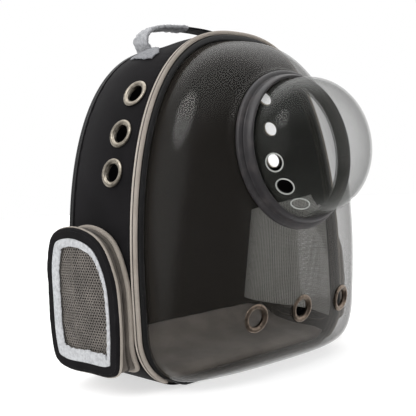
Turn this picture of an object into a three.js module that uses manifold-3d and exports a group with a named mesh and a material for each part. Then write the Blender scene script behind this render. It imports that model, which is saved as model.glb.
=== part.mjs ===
// Capsule pet carrier backpack: an arched fabric body, a clear domed front shell with a porthole
// dome, a vented bay on each side, a webbing handle and two shoulder straps.
// Millimetres, +Z up. The clear front faces -Y, the wearer's back is at +Y, and +X is the side
// on the right of someone who looks at the clear front. The origin is under the middle of the
// whole object, on the surface that it stands on.
import * as THREE from 'three';
import { mergeVertices } from 'three/addons/utils/BufferGeometryUtils.js';
import Module from 'manifold-3d';

const wasm = await Module();
wasm.setup();

// Running gap between neighbouring pieces
const CLEARANCE = 0.3;

// Slivers that a cut leaves are closed up below this size
const WELD = 0.05;

// Body outline, seen from the front
const HALF_WIDTH = 180;
const HEIGHT = 420;
const SHOULDER_HEIGHT = 97; // the straight sides end here
const CORNER_RADIUS = 65; // lower corners
const ARCH_POWER = 2.45; // exponent of the curve over the shoulders
const CORNER_STEPS = 6;
const ARCH_STEPS = 14;

// Fabric wall that runs round the body
const WALL_THICKNESS = 2;
const WALL_INSET = 1.5; // behind the outer edge of the piping
const WALL_DEPTH = 120;
const WALL_BULGE = 8; // how far the filled upper sides stand out
const WALL_BULGE_RISE = 70; // height over which the bulge grows above the bays
const WALL_BULGE_FADE = 45; // height below the top over which it dies away
const WALL_SECTIONS = 5;

// Back panel and floor pad
const BACK_THICKNESS = 10;
const BACK_EDGE_ROUND = 3;
const PAD_MARGIN = 3;
const PAD_CLIMB = 0.34; // share of the lower corner that the pad's sides climb
const PAD_SIDE_THINNING = 0.25; // how much lower the pad is at its sides
const PAD_PROFILE = [ // share of the pad's depth from the front, and height; it curls up at the back
  { along: 0, height: 8 },
  { along: 0.06, height: 15 },
  { along: 0.5, height: 18 },
  { along: 0.78, height: 27 },
  { along: 1, height: 50 },
];

// Double piping of the zip round the front
const PIPING_RADIUS = 2.55;
const PIPING_SIDES = 6;
const PIPING_END = 0.27; // share of the lower corner, from the base, where the piping stops

// Shell: clear front, with the rim that binds its flange and the frame behind it
const SHELL_WALL = 2;
const SHELL_INSET = 13.5; // from the outline to the foot of the clear wall, at the sides
const SHELL_BASE_INSET = 5; // the same, along the base
const SHELL_DEPTH = 96;
const SHELL_DEEPEST = 250; // height of the deepest section
const SHELL_BASE_SHRINK = 0.375; // share of the depth that is lost at the base
const SHELL_SHRINK_POWER = 1.8;
const SHELL_BELLY_HEIGHT = 35; // height of the rounded belly at the base
const SHELL_BELLY_POWER = 3;
const SHELL_CROWN_POWER = 2.3;
const SHELL_PLAN_POWER_LOW = 2.7; // squareness of the plan section at the base
const SHELL_PLAN_POWER_HIGH = 2.1; // and at the top
const SHELL_COLUMNS = 18;
const FLANGE_GAP = 5.6; // from the outline to the flange, the rim and the frame
const FLANGE_BASE_GAP = 0.7;
const FLANGE_LAP = 4; // width of the flange inside the foot of the wall
const RIM_DEPTH = 5;
const RIM_CHAMFER = 1.6;
const RIM_GAP = 0.8; // between the rim and the clear wall
const FRAME_DEPTH = 3.8;

// Porthole: ring and dome on one axis, tilted up
const PORTHOLE_HEIGHT = 266;
const PORTHOLE_REACH = 88.5; // from the flange plane to the ring's face, on the axis
const PORTHOLE_TILT = THREE.MathUtils.degToRad(5);
const RING_RADIUS = 93.7;
const RING_BORE = 81.3;
const RING_LIP_RADIUS = 87.5;
const RING_LIP_HEIGHT = 14.2;
const RING_FLANGE_RISE = 4.2;
const RING_EDGE = 2;
const RING_DEPTH = 3.9; // behind the ring's face plane
const RING_SEGMENTS = 32;
const SEAT_MARGIN = 2;
const SEAT_FLARE = 8;
const SEAT_DEPTH = 26;
const DOME_RADIUS = 80;
const DOME_HEIGHT = 68;
const DOME_POWER = 2.45;
const DOME_WALL = 2;
const DOME_BASE = 12.7; // where the straight foot ends, in front of the ring's face plane
const DOME_FOOT_HEIGHT = 2;
const DOME_ROWS = 5;
const DOME_VENT_RADIUS = 9.5;
const DOME_VENT_HEIGHT = 33.5; // of the air holes, in front of the ring's face plane
const DOME_VENT_TURNS = [194, 215.5, 237]; // degrees round the axis, from the right over the top
const DOME_VENT_SEGMENTS = 12;

// Metal eyelets
const EYELET_RADIUS = 17;
const EYELET_BORE = 10.8;
const EYELET_BARREL = 12.2;
const EYELET_RISE = 2;
const EYELET_REACH = 3.6; // of the barrel, behind the surface
const EYELET_SEGMENTS = 12;
const FRONT_EYELET_HEIGHT = 77;
const FRONT_EYELETS_X = [-67, 8, 90];
const SIDE_EYELETS = { // setback from the wall's front edge, height
  left: [
    { setback: 33, height: 250 },
    { setback: 28.5, height: 294 },
    { setback: 24.5, height: 340 },
  ],
  right: [
    { setback: 97, height: 262 },
    { setback: 87, height: 308 },
    { setback: 76, height: 350 },
  ],
};

// Side bays: a deep zipped edge, a black frame, a pale trim and a mesh face
const BAY_SETBACK = -2; // from the wall's front edge
const BAY_LENGTH = 127;
const BAY_BOTTOM = 22;
const BAY_HEIGHT = 170;
const BAY_FRONT_DEPTH = 20; // from the body's side to the face, at the front edge
const BAY_REAR_DEPTH = 34;
const BAY_STEPS = 24;
const BAY_PIPING_RADIUS = 3.2;
const BAY_EDGE_PIPING_RADIUS = 2;
const BAY_BAND_THICKNESS = 2;
const BAY_FACE_THICKNESS = 2;
const BAY_FRAME_WIDTH = 9; // inside the band
const BAY_FRAME_SETBACK = 1; // of its outer edge, which covers the edge piping
const BAY_TRIM_WIDTH = 7;
const BAY_TRIM_LAP = 2;
const BAY_TRIM_THICKNESS = 1;
const BAY_MESH_THICKNESS = 1;
const BAY_WINDOW_INSET = 12;
const BAY_OUTLINE = [ // shares of the bay's length, from the front, and of its height
  { along: 0.0, up: 0.43 },
  { along: 0.03, up: 0.66 },
  { along: 0.18, up: 0.88 },
  { along: 0.38, up: 0.97 },
  { along: 0.66, up: 1.0 },
  { along: 0.88, up: 0.95 },
  { along: 0.98, up: 0.78 },
  { along: 1.0, up: 0.5 },
  { along: 0.99, up: 0.2 },
  { along: 0.93, up: 0.06 },
  { along: 0.78, up: 0.01 },
  { along: 0.45, up: 0.0 },
  { along: 0.16, up: 0.0 },
  { along: 0.055, up: 0.04 },
  { along: 0.015, up: 0.18 },
];

// Carry handle over the top, with a pale sleeve on one half
const HANDLE_SETBACK = 90; // of its middle, from the wall's front edge
const HANDLE_HALF_SPAN = 72;
const HANDLE_RISE = 22; // of the middle, above the top of the body
const HANDLE_WIDTH = 26;
const HANDLE_THICKNESS = 3;
const HANDLE_STEPS = 16;
const SLEEVE_WALL = 1;
const SLEEVE_END = 0.47; // share of the handle's length that the sleeve covers
const HANDLE_PATH = [ // shares of the half span and of the rise above the body's top
  { across: 0.96, up: -0.75 },
  { across: 1.06, up: 0.05 },
  { across: 0.9, up: 0.64 },
  { across: 0.52, up: 0.92 },
  { across: 0, up: 1 },
];

// Shoulder straps on the back
const STRAP_WIDTH = 58;
const STRAP_THICKNESS = 10;
const STRAP_TOP = 372;
const STRAP_BOTTOM = 118;
const STRAP_TOP_X = 50;
const STRAP_BOTTOM_X = 102;
const STRAP_REACH = 36; // how far the strap stands off the back panel
const STRAP_STEPS = 12;
const STRAP_PATH = [ // shares of the run from top to bottom, of the spread and of the reach
  { down: 0, spread: 0, reach: -0.15 },
  { down: 0.04, spread: 0.02, reach: 0.55 },
  { down: 0.2, spread: 0.12, reach: 1 },
  { down: 0.5, spread: 0.42, reach: 1 },
  { down: 0.8, spread: 0.8, reach: 0.7 },
  { down: 1, spread: 1, reach: 0.45 },
];
const WEBBING_WIDTH = 25;
const WEBBING_THICKNESS = 2;
const WEBBING_BOTTOM = 40;
const WEBBING_BOTTOM_X = 118;
const WEBBING_STEPS = 6;

// Depth positions, from the front face of the shell's flange at y = 0 to the wearer's side
const rimBack = -CLEARANCE;
const rimFront = rimBack - RIM_DEPTH;
const frameFront = SHELL_WALL + CLEARANCE;
const frameBack = frameFront + FRAME_DEPTH;
const wallFront = frameBack + CLEARANCE;
const wallBack = wallFront + WALL_DEPTH;
const backFront = wallBack + CLEARANCE;
const backRear = backFront + BACK_THICKNESS;
const rearPipingY = wallFront - CLEARANCE - PIPING_RADIUS;
const frontPipingY = rearPipingY - 2 * PIPING_RADIUS - CLEARANCE;
const bayTop = BAY_BOTTOM + BAY_HEIGHT;

const FINISHES = {
  fabric: { color: 0x2a282b, roughness: 0.9, metalness: 0 },
  binding: { color: 0x18171a, roughness: 0.7, metalness: 0 },
  piping: { color: 0xbdb2a6, roughness: 0.75, metalness: 0 },
  zip: { color: 0x857a70, roughness: 0.8, metalness: 0 },
  clear: { color: 0x6b6b66, roughness: 0.05, metalness: 0, transparent: true, opacity: 0.4 },
  plastic: { color: 0x363438, roughness: 0.45, metalness: 0 },
  metal: { color: 0x8c7a6c, roughness: 0.3, metalness: 1 },
  mesh: { color: 0x665e57, roughness: 0.8, metalness: 0 },
  trim: { color: 0xd6d7db, roughness: 0.8, metalness: 0 },
  pad: { color: 0x6a645e, roughness: 0.95, metalness: 0 },
};

const group = new THREE.Group();

// Adds one named piece to the model.
function addPiece(name, geometry, finish) {
  const mesh = new THREE.Mesh(geometry, new THREE.MeshStandardMaterial(FINISHES[finish]));
  mesh.name = name;
  group.add(mesh);
  return mesh;
}

function smooth(from, to, value) {
  return THREE.MathUtils.smoothstep(value, from, to);
}

function mix(from, to, share) {
  return THREE.MathUtils.lerp(from, to, share);
}

// Triangle lists: quads between two rows of points, and a fan from a centre to a loop.
function stitchRows(triangles, rowA, rowB, closed) {
  const last = closed ? rowA.length : rowA.length - 1;
  for (let i = 0; i < last; i++) {
    const j = (i + 1) % rowA.length;
    triangles.push([rowA[i], rowA[j], rowB[j]], [rowA[i], rowB[j], rowB[i]]);
  }
}

function fanLoop(triangles, loop, reversed) {
  const centre = new THREE.Vector3();
  loop.forEach((point) => centre.addScaledVector(point, 1 / loop.length));
  for (let i = 0; i < loop.length; i++) {
    const j = (i + 1) % loop.length;
    triangles.push(reversed ? [centre, loop[j], loop[i]] : [centre, loop[i], loop[j]]);
  }
}

// A closed body from loose triangles: shared corners are merged, empty triangles dropped, and
// the faces turned outwards where the enclosed volume comes out negative.
function bodyFrom(triangles) {
  const loose = new THREE.BufferGeometry().setFromPoints(triangles.flat());
  const merged = mergeVertices(loose, 1e-4);
  const source = merged.index.array;
  const corners = [0, 1, 2].map(() => new THREE.Vector3());
  let kept = [];
  let volume = 0;
  for (let i = 0; i < source.length; i += 3) {
    const [a, b, c] = [source[i], source[i + 1], source[i + 2]];
    if (a === b || b === c || c === a) continue;
    [a, b, c].forEach((n, k) => corners[k].fromBufferAttribute(merged.attributes.position, n));
    volume += corners[0].dot(corners[1].cross(corners[2]));
    kept.push([a, b, c]);
  }
  if (volume < 0) kept = kept.map(([a, b, c]) => [a, c, b]);
  merged.setIndex(kept.flat());
  return merged;
}

// A body swept through sections, each a closed polygon with the same number of points.
function sweep(sections, closed) {
  const triangles = [];
  const count = sections.length;
  for (let i = 0; i < (closed ? count : count - 1); i++) {
    stitchRows(triangles, sections[i], sections[(i + 1) % count], true);
  }
  if (!closed) {
    fanLoop(triangles, sections[0], true);
    fanLoop(triangles, sections[count - 1], false);
  }
  return bodyFrom(triangles);
}

// Booleans
function solid(geometry) {
  const bare = geometry.clone();
  bare.deleteAttribute('normal');
  bare.deleteAttribute('uv');
  const merged = mergeVertices(bare, 1e-4);
  return new wasm.Manifold(new wasm.Mesh({
    numProp: 3,
    vertProperties: Float32Array.from(merged.attributes.position.array),
    triVerts: Uint32Array.from(merged.index.array),
  }));
}

// The surface of a cut body. The ends of every edge shorter than WELD become one corner.
function geometryOf(manifold) {
  const result = manifold.asOriginal().setTolerance(WELD).getMesh();
  const corners = new THREE.BufferAttribute(result.vertProperties, 3);
  const points = Array.from({ length: corners.count }, (_, n) => {
    return new THREE.Vector3().fromBufferAttribute(corners, n);
  });
  const triangles = [];
  for (let i = 0; i < result.triVerts.length; i += 3) {
    triangles.push([0, 1, 2].map((k) => points[result.triVerts[i + k]]));
  }
  let moved = true;
  while (moved) {
    moved = false;
    triangles.forEach((triangle) => triangle.forEach((a, k) => {
      const b = triangle[(k + 1) % 3];
      const apart = a.distanceTo(b);
      if (apart === 0 || apart > WELD) return;
      b.copy(a);
      moved = true;
    }));
  }
  return bodyFrom(triangles);
}

// A body of revolution from [radius, along] pairs, moved so that its axis runs along a direction.
function turned(profile, segments, origin, direction) {
  const closedProfile = [...profile, profile[0]];
  const points = closedProfile.map(([radius, along]) => new THREE.Vector2(radius, along));
  const geometry = new THREE.LatheGeometry(points, segments);
  const up = new THREE.Vector3(0, 1, 0);
  const turn = new THREE.Quaternion().setFromUnitVectors(up, direction);
  geometry.applyQuaternion(turn);
  geometry.translate(origin.x, origin.y, origin.z);
  geometry.deleteAttribute('normal');
  geometry.deleteAttribute('uv');
  const merged = mergeVertices(geometry, 1e-4);
  const corners = Array.from(merged.index.array, (n) => {
    return new THREE.Vector3().fromBufferAttribute(merged.attributes.position, n);
  });
  const triangles = [];
  for (let i = 0; i < corners.length; i += 3) triangles.push(corners.slice(i, i + 3));
  return bodyFrom(triangles);
}

function cylinder(radius, from, to, segments, origin, direction) {
  return turned([[0, from], [radius, from], [radius, to], [0, to]], segments, origin, direction);
}

// The right half of the body outline, from the edge of the flat base to the top. Each station
// has its outward normal, and low and lowEnd, which are 1 on the flat base and fall to 0 over
// the whole lower corner, or over the stretch below the end of the piping.
function rightStations() {
  const stations = [];
  const flat = HALF_WIDTH - CORNER_RADIUS;
  for (let i = 0; i <= CORNER_STEPS; i++) {
    const share = i / CORNER_STEPS;
    const angle = (share - 1) * Math.PI / 2;
    const nx = Math.cos(angle);
    const nz = Math.sin(angle);
    const low = 1 - smooth(0, 1, share);
    const lowEnd = 1 - smooth(0, PIPING_END, share);
    stations.push({
      x: flat + CORNER_RADIUS * nx, z: CORNER_RADIUS + CORNER_RADIUS * nz, nx, nz, low, lowEnd, share,
    });
  }
  const rise = HEIGHT - SHOULDER_HEIGHT;
  for (let i = 0; i <= ARCH_STEPS; i++) {
    const angle = i / ARCH_STEPS * Math.PI / 2;
    const across = i === ARCH_STEPS ? 0 : Math.cos(angle) ** (2 / ARCH_POWER);
    const up = Math.sin(angle) ** (2 / ARCH_POWER);
    const normal = new THREE.Vector2(
      across ** (ARCH_POWER - 1) / HALF_WIDTH, up ** (ARCH_POWER - 1) / rise).normalize();
    stations.push({
      x: HALF_WIDTH * across, z: SHOULDER_HEIGHT + rise * up,
      nx: normal.x, nz: normal.y, low: 0, lowEnd: 0, share: 1,
    });
  }
  return stations;
}

// The whole outline as a loop: up the right side, over the top and down the left side.
function outlineStations() {
  const right = rightStations();
  const left = right.slice(0, -1).reverse().map((s) => ({ ...s, x: -s.x, nx: -s.nx }));
  return [...right, ...left];
}

const halfOutline = rightStations();
const outline = outlineStations();

function at(station, inset, y) {
  return new THREE.Vector3(station.x - station.nx * inset, y, station.z - station.nz * inset);
}

// A ring round the body whose section is a rectangle with its front corners cut off.
function outlineRing(outerInset, innerInset, front, back, chamfer) {
  return sweep(outline.map((station) => {
    const outer = outerInset(station);
    const inner = innerInset(station);
    const cut = Math.min(chamfer, (inner - outer) / 3);
    const corners = [[outer, back], [outer, front + cut], [outer + cut, front],
      [inner - cut, front], [inner, front + cut], [inner, back]];
    return corners.map(([inset, y]) => at(station, inset, y));
  }), true);
}

// Fabric wall. Its sides bulge between the front edge and the back panel, above the bays.
function bulgeAt(height, y) {
  const grow = smooth(bayTop, bayTop + WALL_BULGE_RISE, height);
  const fade = 1 - smooth(HEIGHT - WALL_BULGE_FADE, HEIGHT, height);
  return WALL_BULGE * grow * fade * Math.sin(Math.PI * (y - wallFront) / WALL_DEPTH);
}

function wallInset(station, y) {
  return mix(WALL_INSET, 0, station.low) - bulgeAt(station.z, y);
}

function wallRows() {
  return Array.from({ length: WALL_SECTIONS + 1 }, (_, k) => wallFront + WALL_DEPTH * k / WALL_SECTIONS);
}

function wallBody() {
  const rows = wallRows();
  return sweep(outline.map((station) => [
    ...rows.map((y) => at(station, wallInset(station, y), y)),
    ...rows.toReversed().map((y) => at(station, wallInset(station, y) + WALL_THICKNESS, y)),
  ]), true);
}

// The filled outer form of the wall and the back panel, grown by a margin, for trimming what is
// sewn onto it.
function bodyEnvelope(margin) {
  const loopAt = (y, inset) => outline.map((station) => at(station, inset(station, y) - margin, y));
  const flat = () => 0;
  return sweep([
    loopAt(wallFront - margin, wallInset), ...wallRows().map((y) => loopAt(y, wallInset)),
    loopAt(wallBack + CLEARANCE / 2, flat), loopAt(backRear + margin, flat),
  ], false);
}

// Point and outward normal on the fabric wall of one side, at a height and a setback.
function wallSpot(side, setback, height) {
  const y = wallFront + setback;
  const up = Math.max(height - SHOULDER_HEIGHT, 0) / (HEIGHT - SHOULDER_HEIGHT);
  const across = (1 - up ** ARCH_POWER) ** (1 / ARCH_POWER);
  const nx = across ** (ARCH_POWER - 1) / HALF_WIDTH;
  const nz = up ** (ARCH_POWER - 1) / (HEIGHT - SHOULDER_HEIGHT);
  const length = Math.hypot(nx, nz);
  const station = { x: HALF_WIDTH * across, z: height, nx: nx / length, nz: nz / length };
  const bulge = bulgeAt(height, y);
  const slope = bulgeAt(height, y + 0.5) - bulgeAt(height, y - 0.5);
  const point = at(station, WALL_INSET - bulge, y);
  const normal = new THREE.Vector3(station.nx, -slope, station.nz).normalize();
  point.x *= side;
  normal.x *= side;
  return { point, normal };
}

// Clear shell. The midplane depth falls off towards the base, and rounds in at both ends.
function shellDepth(height, skin) {
  const deepest = SHELL_DEPTH - skin;
  if (height > SHELL_DEEPEST) {
    const share = (height - SHELL_DEEPEST) / (HEIGHT - SHELL_INSET - skin - SHELL_DEEPEST);
    return deepest * Math.max(1 - share ** SHELL_CROWN_POWER, 0) ** (1 / SHELL_CROWN_POWER);
  }
  const below = (SHELL_DEEPEST - height) / SHELL_DEEPEST;
  const base = deepest * (1 - SHELL_BASE_SHRINK * below ** SHELL_SHRINK_POWER);
  const foot = SHELL_BASE_INSET + skin;
  const belly = THREE.MathUtils.clamp((foot + SHELL_BELLY_HEIGHT - height) / SHELL_BELLY_HEIGHT, 0, 1);
  return base * (1 - belly ** SHELL_BELLY_POWER) ** (1 / SHELL_BELLY_POWER);
}

function planPower(height) {
  return mix(SHELL_PLAN_POWER_LOW, SHELL_PLAN_POWER_HIGH, height / HEIGHT);
}

// Foot of the clear wall on the flange plane, skin millimetres inside the outer face.
function shellFoot(station, skin) {
  return at(station, mix(SHELL_INSET, SHELL_BASE_INSET, station.low) + skin, 0);
}

// One skin of the shell as a filled body that reaches back to a depth.
function shellSkin(skin, back) {
  const rows = halfOutline.map((station) => {
    const foot = shellFoot(station, skin);
    const depth = shellDepth(foot.z, skin);
    const power = 2 / planPower(foot.z);
    return Array.from({ length: SHELL_COLUMNS + 1 }, (_, c) => {
      const angle = Math.PI * c / SHELL_COLUMNS;
      const across = Math.sign(Math.cos(angle)) * Math.abs(Math.cos(angle)) ** power;
      const deep = c === 0 || c === SHELL_COLUMNS ? 0 : Math.sin(angle) ** power;
      return new THREE.Vector3(foot.x * across, -depth * deep, foot.z);
    });
  });
  const triangles = [];
  for (let r = 0; r < rows.length - 1; r++) stitchRows(triangles, rows[r], rows[r + 1], false);
  const rightEdge = rows.map((row) => row[0]);
  const leftEdge = rows.slice(0, -1).reverse().map((row) => row[SHELL_COLUMNS]);
  const baseEdge = rows[0].slice(1, -1).reverse();
  const loop = [...rightEdge, ...leftEdge, ...baseEdge];
  const rear = loop.map((point) => point.clone().setY(back));
  stitchRows(triangles, loop, rear, true);
  fanLoop(triangles, rear, false);
  return solid(bodyFrom(triangles));
}

function shellSpot(x, height) {
  const surface = (px, pz) => {
    const rows = halfOutline.map((station) => shellFoot(station, 0));
    const next = rows.findIndex((row) => row.z > pz);
    const share = (pz - rows[next - 1].z) / (rows[next].z - rows[next - 1].z);
    const halfWidth = mix(rows[next - 1].x, rows[next].x, share);
    const power = planPower(pz);
    return -shellDepth(pz, 0) * (1 - Math.abs(px / halfWidth) ** power) ** (1 / power);
  };
  const point = new THREE.Vector3(x, surface(x, height), height);
  const slopeX = surface(x + 1, height) - surface(x - 1, height);
  const slopeZ = surface(x, height + 1) - surface(x, height - 1);
  return { point, normal: new THREE.Vector3(slopeX, -2, slopeZ).normalize() };
}

const portholeCentre = new THREE.Vector3(0, -PORTHOLE_REACH, PORTHOLE_HEIGHT);
const portholeAxis = new THREE.Vector3(0, -Math.cos(PORTHOLE_TILT), Math.sin(PORTHOLE_TILT));

function onPorthole(profile) {
  return turned(profile, RING_SEGMENTS, portholeCentre, portholeAxis);
}

// The flat seat for the ring: a flared boss is added to a skin, and what stands proud is cut off.
function withSeat(skinBody, skin) {
  const face = -RING_DEPTH - CLEARANCE - skin;
  const radius = RING_RADIUS + SEAT_MARGIN - skin;
  const boss = onPorthole([[0, face - SEAT_DEPTH], [radius + SEAT_FLARE, face - SEAT_DEPTH],
    [radius, face], [0, face]]);
  const proud = cylinder(radius + CLEARANCE, face, face + SHELL_DEPTH, RING_SEGMENTS,
    portholeCentre, portholeAxis);
  return skinBody.add(solid(boss)).subtract(solid(proud));
}

function eyeletHole(spot) {
  const radius = EYELET_BARREL + CLEARANCE;
  return solid(cylinder(radius, -3 * EYELET_REACH, EYELET_REACH, EYELET_SEGMENTS, spot.point, spot.normal));
}

function buildShell(frontSpots) {
  const flange = outlineRing(
    (s) => mix(FLANGE_GAP, FLANGE_BASE_GAP, s.lowEnd),
    (s) => mix(SHELL_INSET, SHELL_BASE_INSET, s.low) + FLANGE_LAP, 0, SHELL_WALL, 0.5);
  const outer = withSeat(shellSkin(0, SHELL_WALL), 0);
  const inner = withSeat(shellSkin(SHELL_WALL, SHELL_WALL + 1), SHELL_WALL);
  const portHole = cylinder(RING_BORE, -SHELL_DEPTH / 2, SHELL_DEPTH / 2, RING_SEGMENTS,
    portholeCentre, portholeAxis);
  let shell = outer.add(solid(flange)).subtract(inner).subtract(solid(portHole));
  frontSpots.forEach((spot) => { shell = shell.subtract(eyeletHole(spot)); });
  addPiece('clear_shell', geometryOf(shell), 'clear');
}

function buildRim() {
  const rim = outlineRing(
    (s) => mix(FLANGE_GAP, FLANGE_BASE_GAP, s.lowEnd),
    (s) => mix(SHELL_INSET, SHELL_BASE_INSET, s.low) - RIM_GAP, rimFront, rimBack, RIM_CHAMFER);
  addPiece('shell_rim', rim, 'binding');
  const frame = outlineRing(
    (s) => mix(FLANGE_GAP, FLANGE_BASE_GAP, s.lowEnd),
    (s) => mix(SHELL_INSET, SHELL_BASE_INSET, s.low) + SHELL_WALL, frameFront, frameBack, 0.5);
  addPiece('front_frame', frame, 'binding');
}

// An air hole through the side of the dome.
function domeVent(turn) {
  const angle = THREE.MathUtils.degToRad(turn);
  const across = new THREE.Vector3(1, 0, 0);
  const up = new THREE.Vector3().crossVectors(portholeAxis, across);
  const out = across.multiplyScalar(Math.cos(angle)).addScaledVector(up, Math.sin(angle));
  const origin = portholeCentre.clone().addScaledVector(portholeAxis, DOME_VENT_HEIGHT);
  return solid(cylinder(
    DOME_VENT_RADIUS, DOME_RADIUS / 2, 1.2 * DOME_RADIUS, DOME_VENT_SEGMENTS, origin, out));
}

function buildPorthole() {
  addPiece('porthole_ring', onPorthole([
    [RING_BORE, -RING_DEPTH], [RING_RADIUS, -RING_DEPTH], [RING_RADIUS, 0],
    [RING_RADIUS - RING_EDGE, RING_EDGE], [RING_LIP_RADIUS, RING_FLANGE_RISE],
    [RING_LIP_RADIUS - 1, RING_LIP_HEIGHT - 4], [RING_LIP_RADIUS - 3, RING_LIP_HEIGHT],
    [RING_BORE + 2, RING_LIP_HEIGHT], [RING_BORE, RING_LIP_HEIGHT - 4],
  ]), 'plastic');
  const foot = -RING_DEPTH;
  const lobe = (radius, height) => Array.from({ length: DOME_ROWS }, (_, i) => {
    const angle = Math.PI / 2 * i / DOME_ROWS;
    const power = 2 / DOME_POWER;
    return [radius * Math.cos(angle) ** power, DOME_BASE + height * Math.sin(angle) ** power];
  });
  const dome = onPorthole([
    [RING_BORE - CLEARANCE, foot], [RING_BORE - CLEARANCE, foot + DOME_FOOT_HEIGHT],
    [DOME_RADIUS, foot + DOME_FOOT_HEIGHT], ...lobe(DOME_RADIUS, DOME_HEIGHT),
    [0, DOME_BASE + DOME_HEIGHT], [0, DOME_BASE + DOME_HEIGHT - DOME_WALL],
    ...lobe(DOME_RADIUS - DOME_WALL, DOME_HEIGHT - DOME_WALL).reverse(), [DOME_RADIUS - DOME_WALL, foot],
  ]);
  addPiece('porthole_dome', geometryOf(DOME_VENT_TURNS.reduce((body, turn) => {
    return body.subtract(domeVent(turn));
  }, solid(dome))), 'clear');
}

function buildEyelet(name, spot) {
  const base = CLEARANCE;
  const top = base + EYELET_RISE;
  addPiece(name, turned([
    [EYELET_BORE, -EYELET_REACH], [EYELET_BARREL, -EYELET_REACH], [EYELET_BARREL, base],
    [EYELET_RADIUS, base], [EYELET_RADIUS - 1, top - 0.4], [EYELET_BARREL + 0.8, top],
    [EYELET_BORE, base + 0.4],
  ], EYELET_SEGMENTS, spot.point, spot.normal), 'metal');
}

// Piping: a cord round the sides and the top, from one lower corner to the other.
function buildPiping(name, y) {
  const run = outline.filter((station) => station.share >= PIPING_END);
  addPiece(name, sweep(run.map((station) => {
    return Array.from({ length: PIPING_SIDES }, (_, i) => {
      const angle = 2 * Math.PI * (i + 0.5) / PIPING_SIDES;
      const inset = PIPING_RADIUS * (1 - Math.cos(angle));
      return at(station, inset, y + PIPING_RADIUS * Math.sin(angle));
    });
  }), false), 'piping');
}

// A plate in the X-Z plane with rounded edges, from a loop of points, between two depths.
function edgedPlate(points, front, back, round) {
  const shape = new THREE.Shape(points.map((point) => new THREE.Vector2(point.x, point.z)));
  const plate = new THREE.ExtrudeGeometry(shape, {
    depth: back - front - 2 * round, bevelEnabled: true, bevelThickness: round,
    bevelSize: round, bevelOffset: -round, bevelSegments: 1, steps: 1,
  });
  plate.rotateX(Math.PI / 2);
  plate.translate(0, back - round, 0);
  return geometryOf(solid(plate));
}

function buildBack() {
  const edge = outline.map((station) => at(station, 0, 0));
  addPiece('back_panel', edgedPlate(edge, backFront, backRear, BACK_EDGE_ROUND), 'fabric');
}

// The pad lies on the wall's floor, its sides climb the lower corners and its rear curls up.
function buildPad() {
  const front = wallFront + PAD_MARGIN;
  const back = wallBack - PAD_MARGIN;
  const right = halfOutline.filter((station) => station.share < PAD_CLIMB);
  const left = right.toReversed().map((station) => ({ ...station, x: -station.x, nx: -station.nx }));
  const stations = [...left, ...right];
  addPiece('floor_pad', sweep(PAD_PROFILE.map(({ along, height }) => {
    const y = mix(front, back, along);
    const under = stations.map((station) => {
      return at(station, wallInset(station, y) + WALL_THICKNESS + CLEARANCE, y);
    });
    const over = under.map((point, i) => {
      const thinning = PAD_SIDE_THINNING * stations[i].share / PAD_CLIMB;
      return new THREE.Vector3(point.x, y, point.z + height * (1 - thinning));
    });
    return [...under, ...over.toReversed()];
  }), false), 'pad');
}

// Outline of a bay in the Y-Z plane, with outward normals.
function bayStations() {
  const start = wallFront + BAY_SETBACK;
  const knots = BAY_OUTLINE.map(({ along, up }) => {
    return new THREE.Vector3(0, start + BAY_LENGTH * along, BAY_BOTTOM + BAY_HEIGHT * up);
  });
  const curve = new THREE.CatmullRomCurve3(knots, true, 'centripetal');
  return Array.from({ length: BAY_STEPS }, (_, i) => {
    const point = curve.getPointAt(i / BAY_STEPS);
    const tangent = curve.getTangentAt(i / BAY_STEPS);
    return { y: point.y, z: point.z, ny: -tangent.z, nz: tangent.y };
  });
}

const bayOutline = bayStations();

// Distance of a bay's outer face from the midplane, growing from front to rear.
function bayFace(y) {
  const share = (y - wallFront - BAY_SETBACK) / BAY_LENGTH;
  return HALF_WIDTH + mix(BAY_FRONT_DEPTH, BAY_REAR_DEPTH, share);
}

function bayPoint(side, station, inset, out) {
  const y = station.y - station.ny * inset;
  const z = station.z - station.nz * inset;
  return new THREE.Vector3(side * out(y, z), y, z);
}

// A ring round a bay with a rectangular section. The two out functions give the distance of its
// faces from the midplane.
function bayRing(side, outerInset, innerInset, nearOut, farOut) {
  return sweep(bayOutline.map((station) => [
    bayPoint(side, station, outerInset, nearOut), bayPoint(side, station, outerInset, farOut),
    bayPoint(side, station, innerInset, farOut), bayPoint(side, station, innerInset, nearOut),
  ]), true);
}

function bayCord(side, centreOut, radius) {
  return sweep(bayOutline.map((station) => {
    return Array.from({ length: PIPING_SIDES }, (_, i) => {
      const angle = 2 * Math.PI * (i + 0.5) / PIPING_SIDES;
      const inset = radius * (1 - Math.cos(angle));
      const lift = radius * Math.sin(angle);
      return bayPoint(side, station, inset, (y, z) => centreOut(y, z) + lift);
    });
  }), true);
}

// Half width of the body at a height, for seating a bay on the side.
function bodyHalfWidth(height) {
  if (height >= CORNER_RADIUS) return HALF_WIDTH;
  const drop = CORNER_RADIUS - height;
  return HALF_WIDTH - CORNER_RADIUS + Math.sqrt(CORNER_RADIUS ** 2 - drop ** 2);
}

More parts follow.
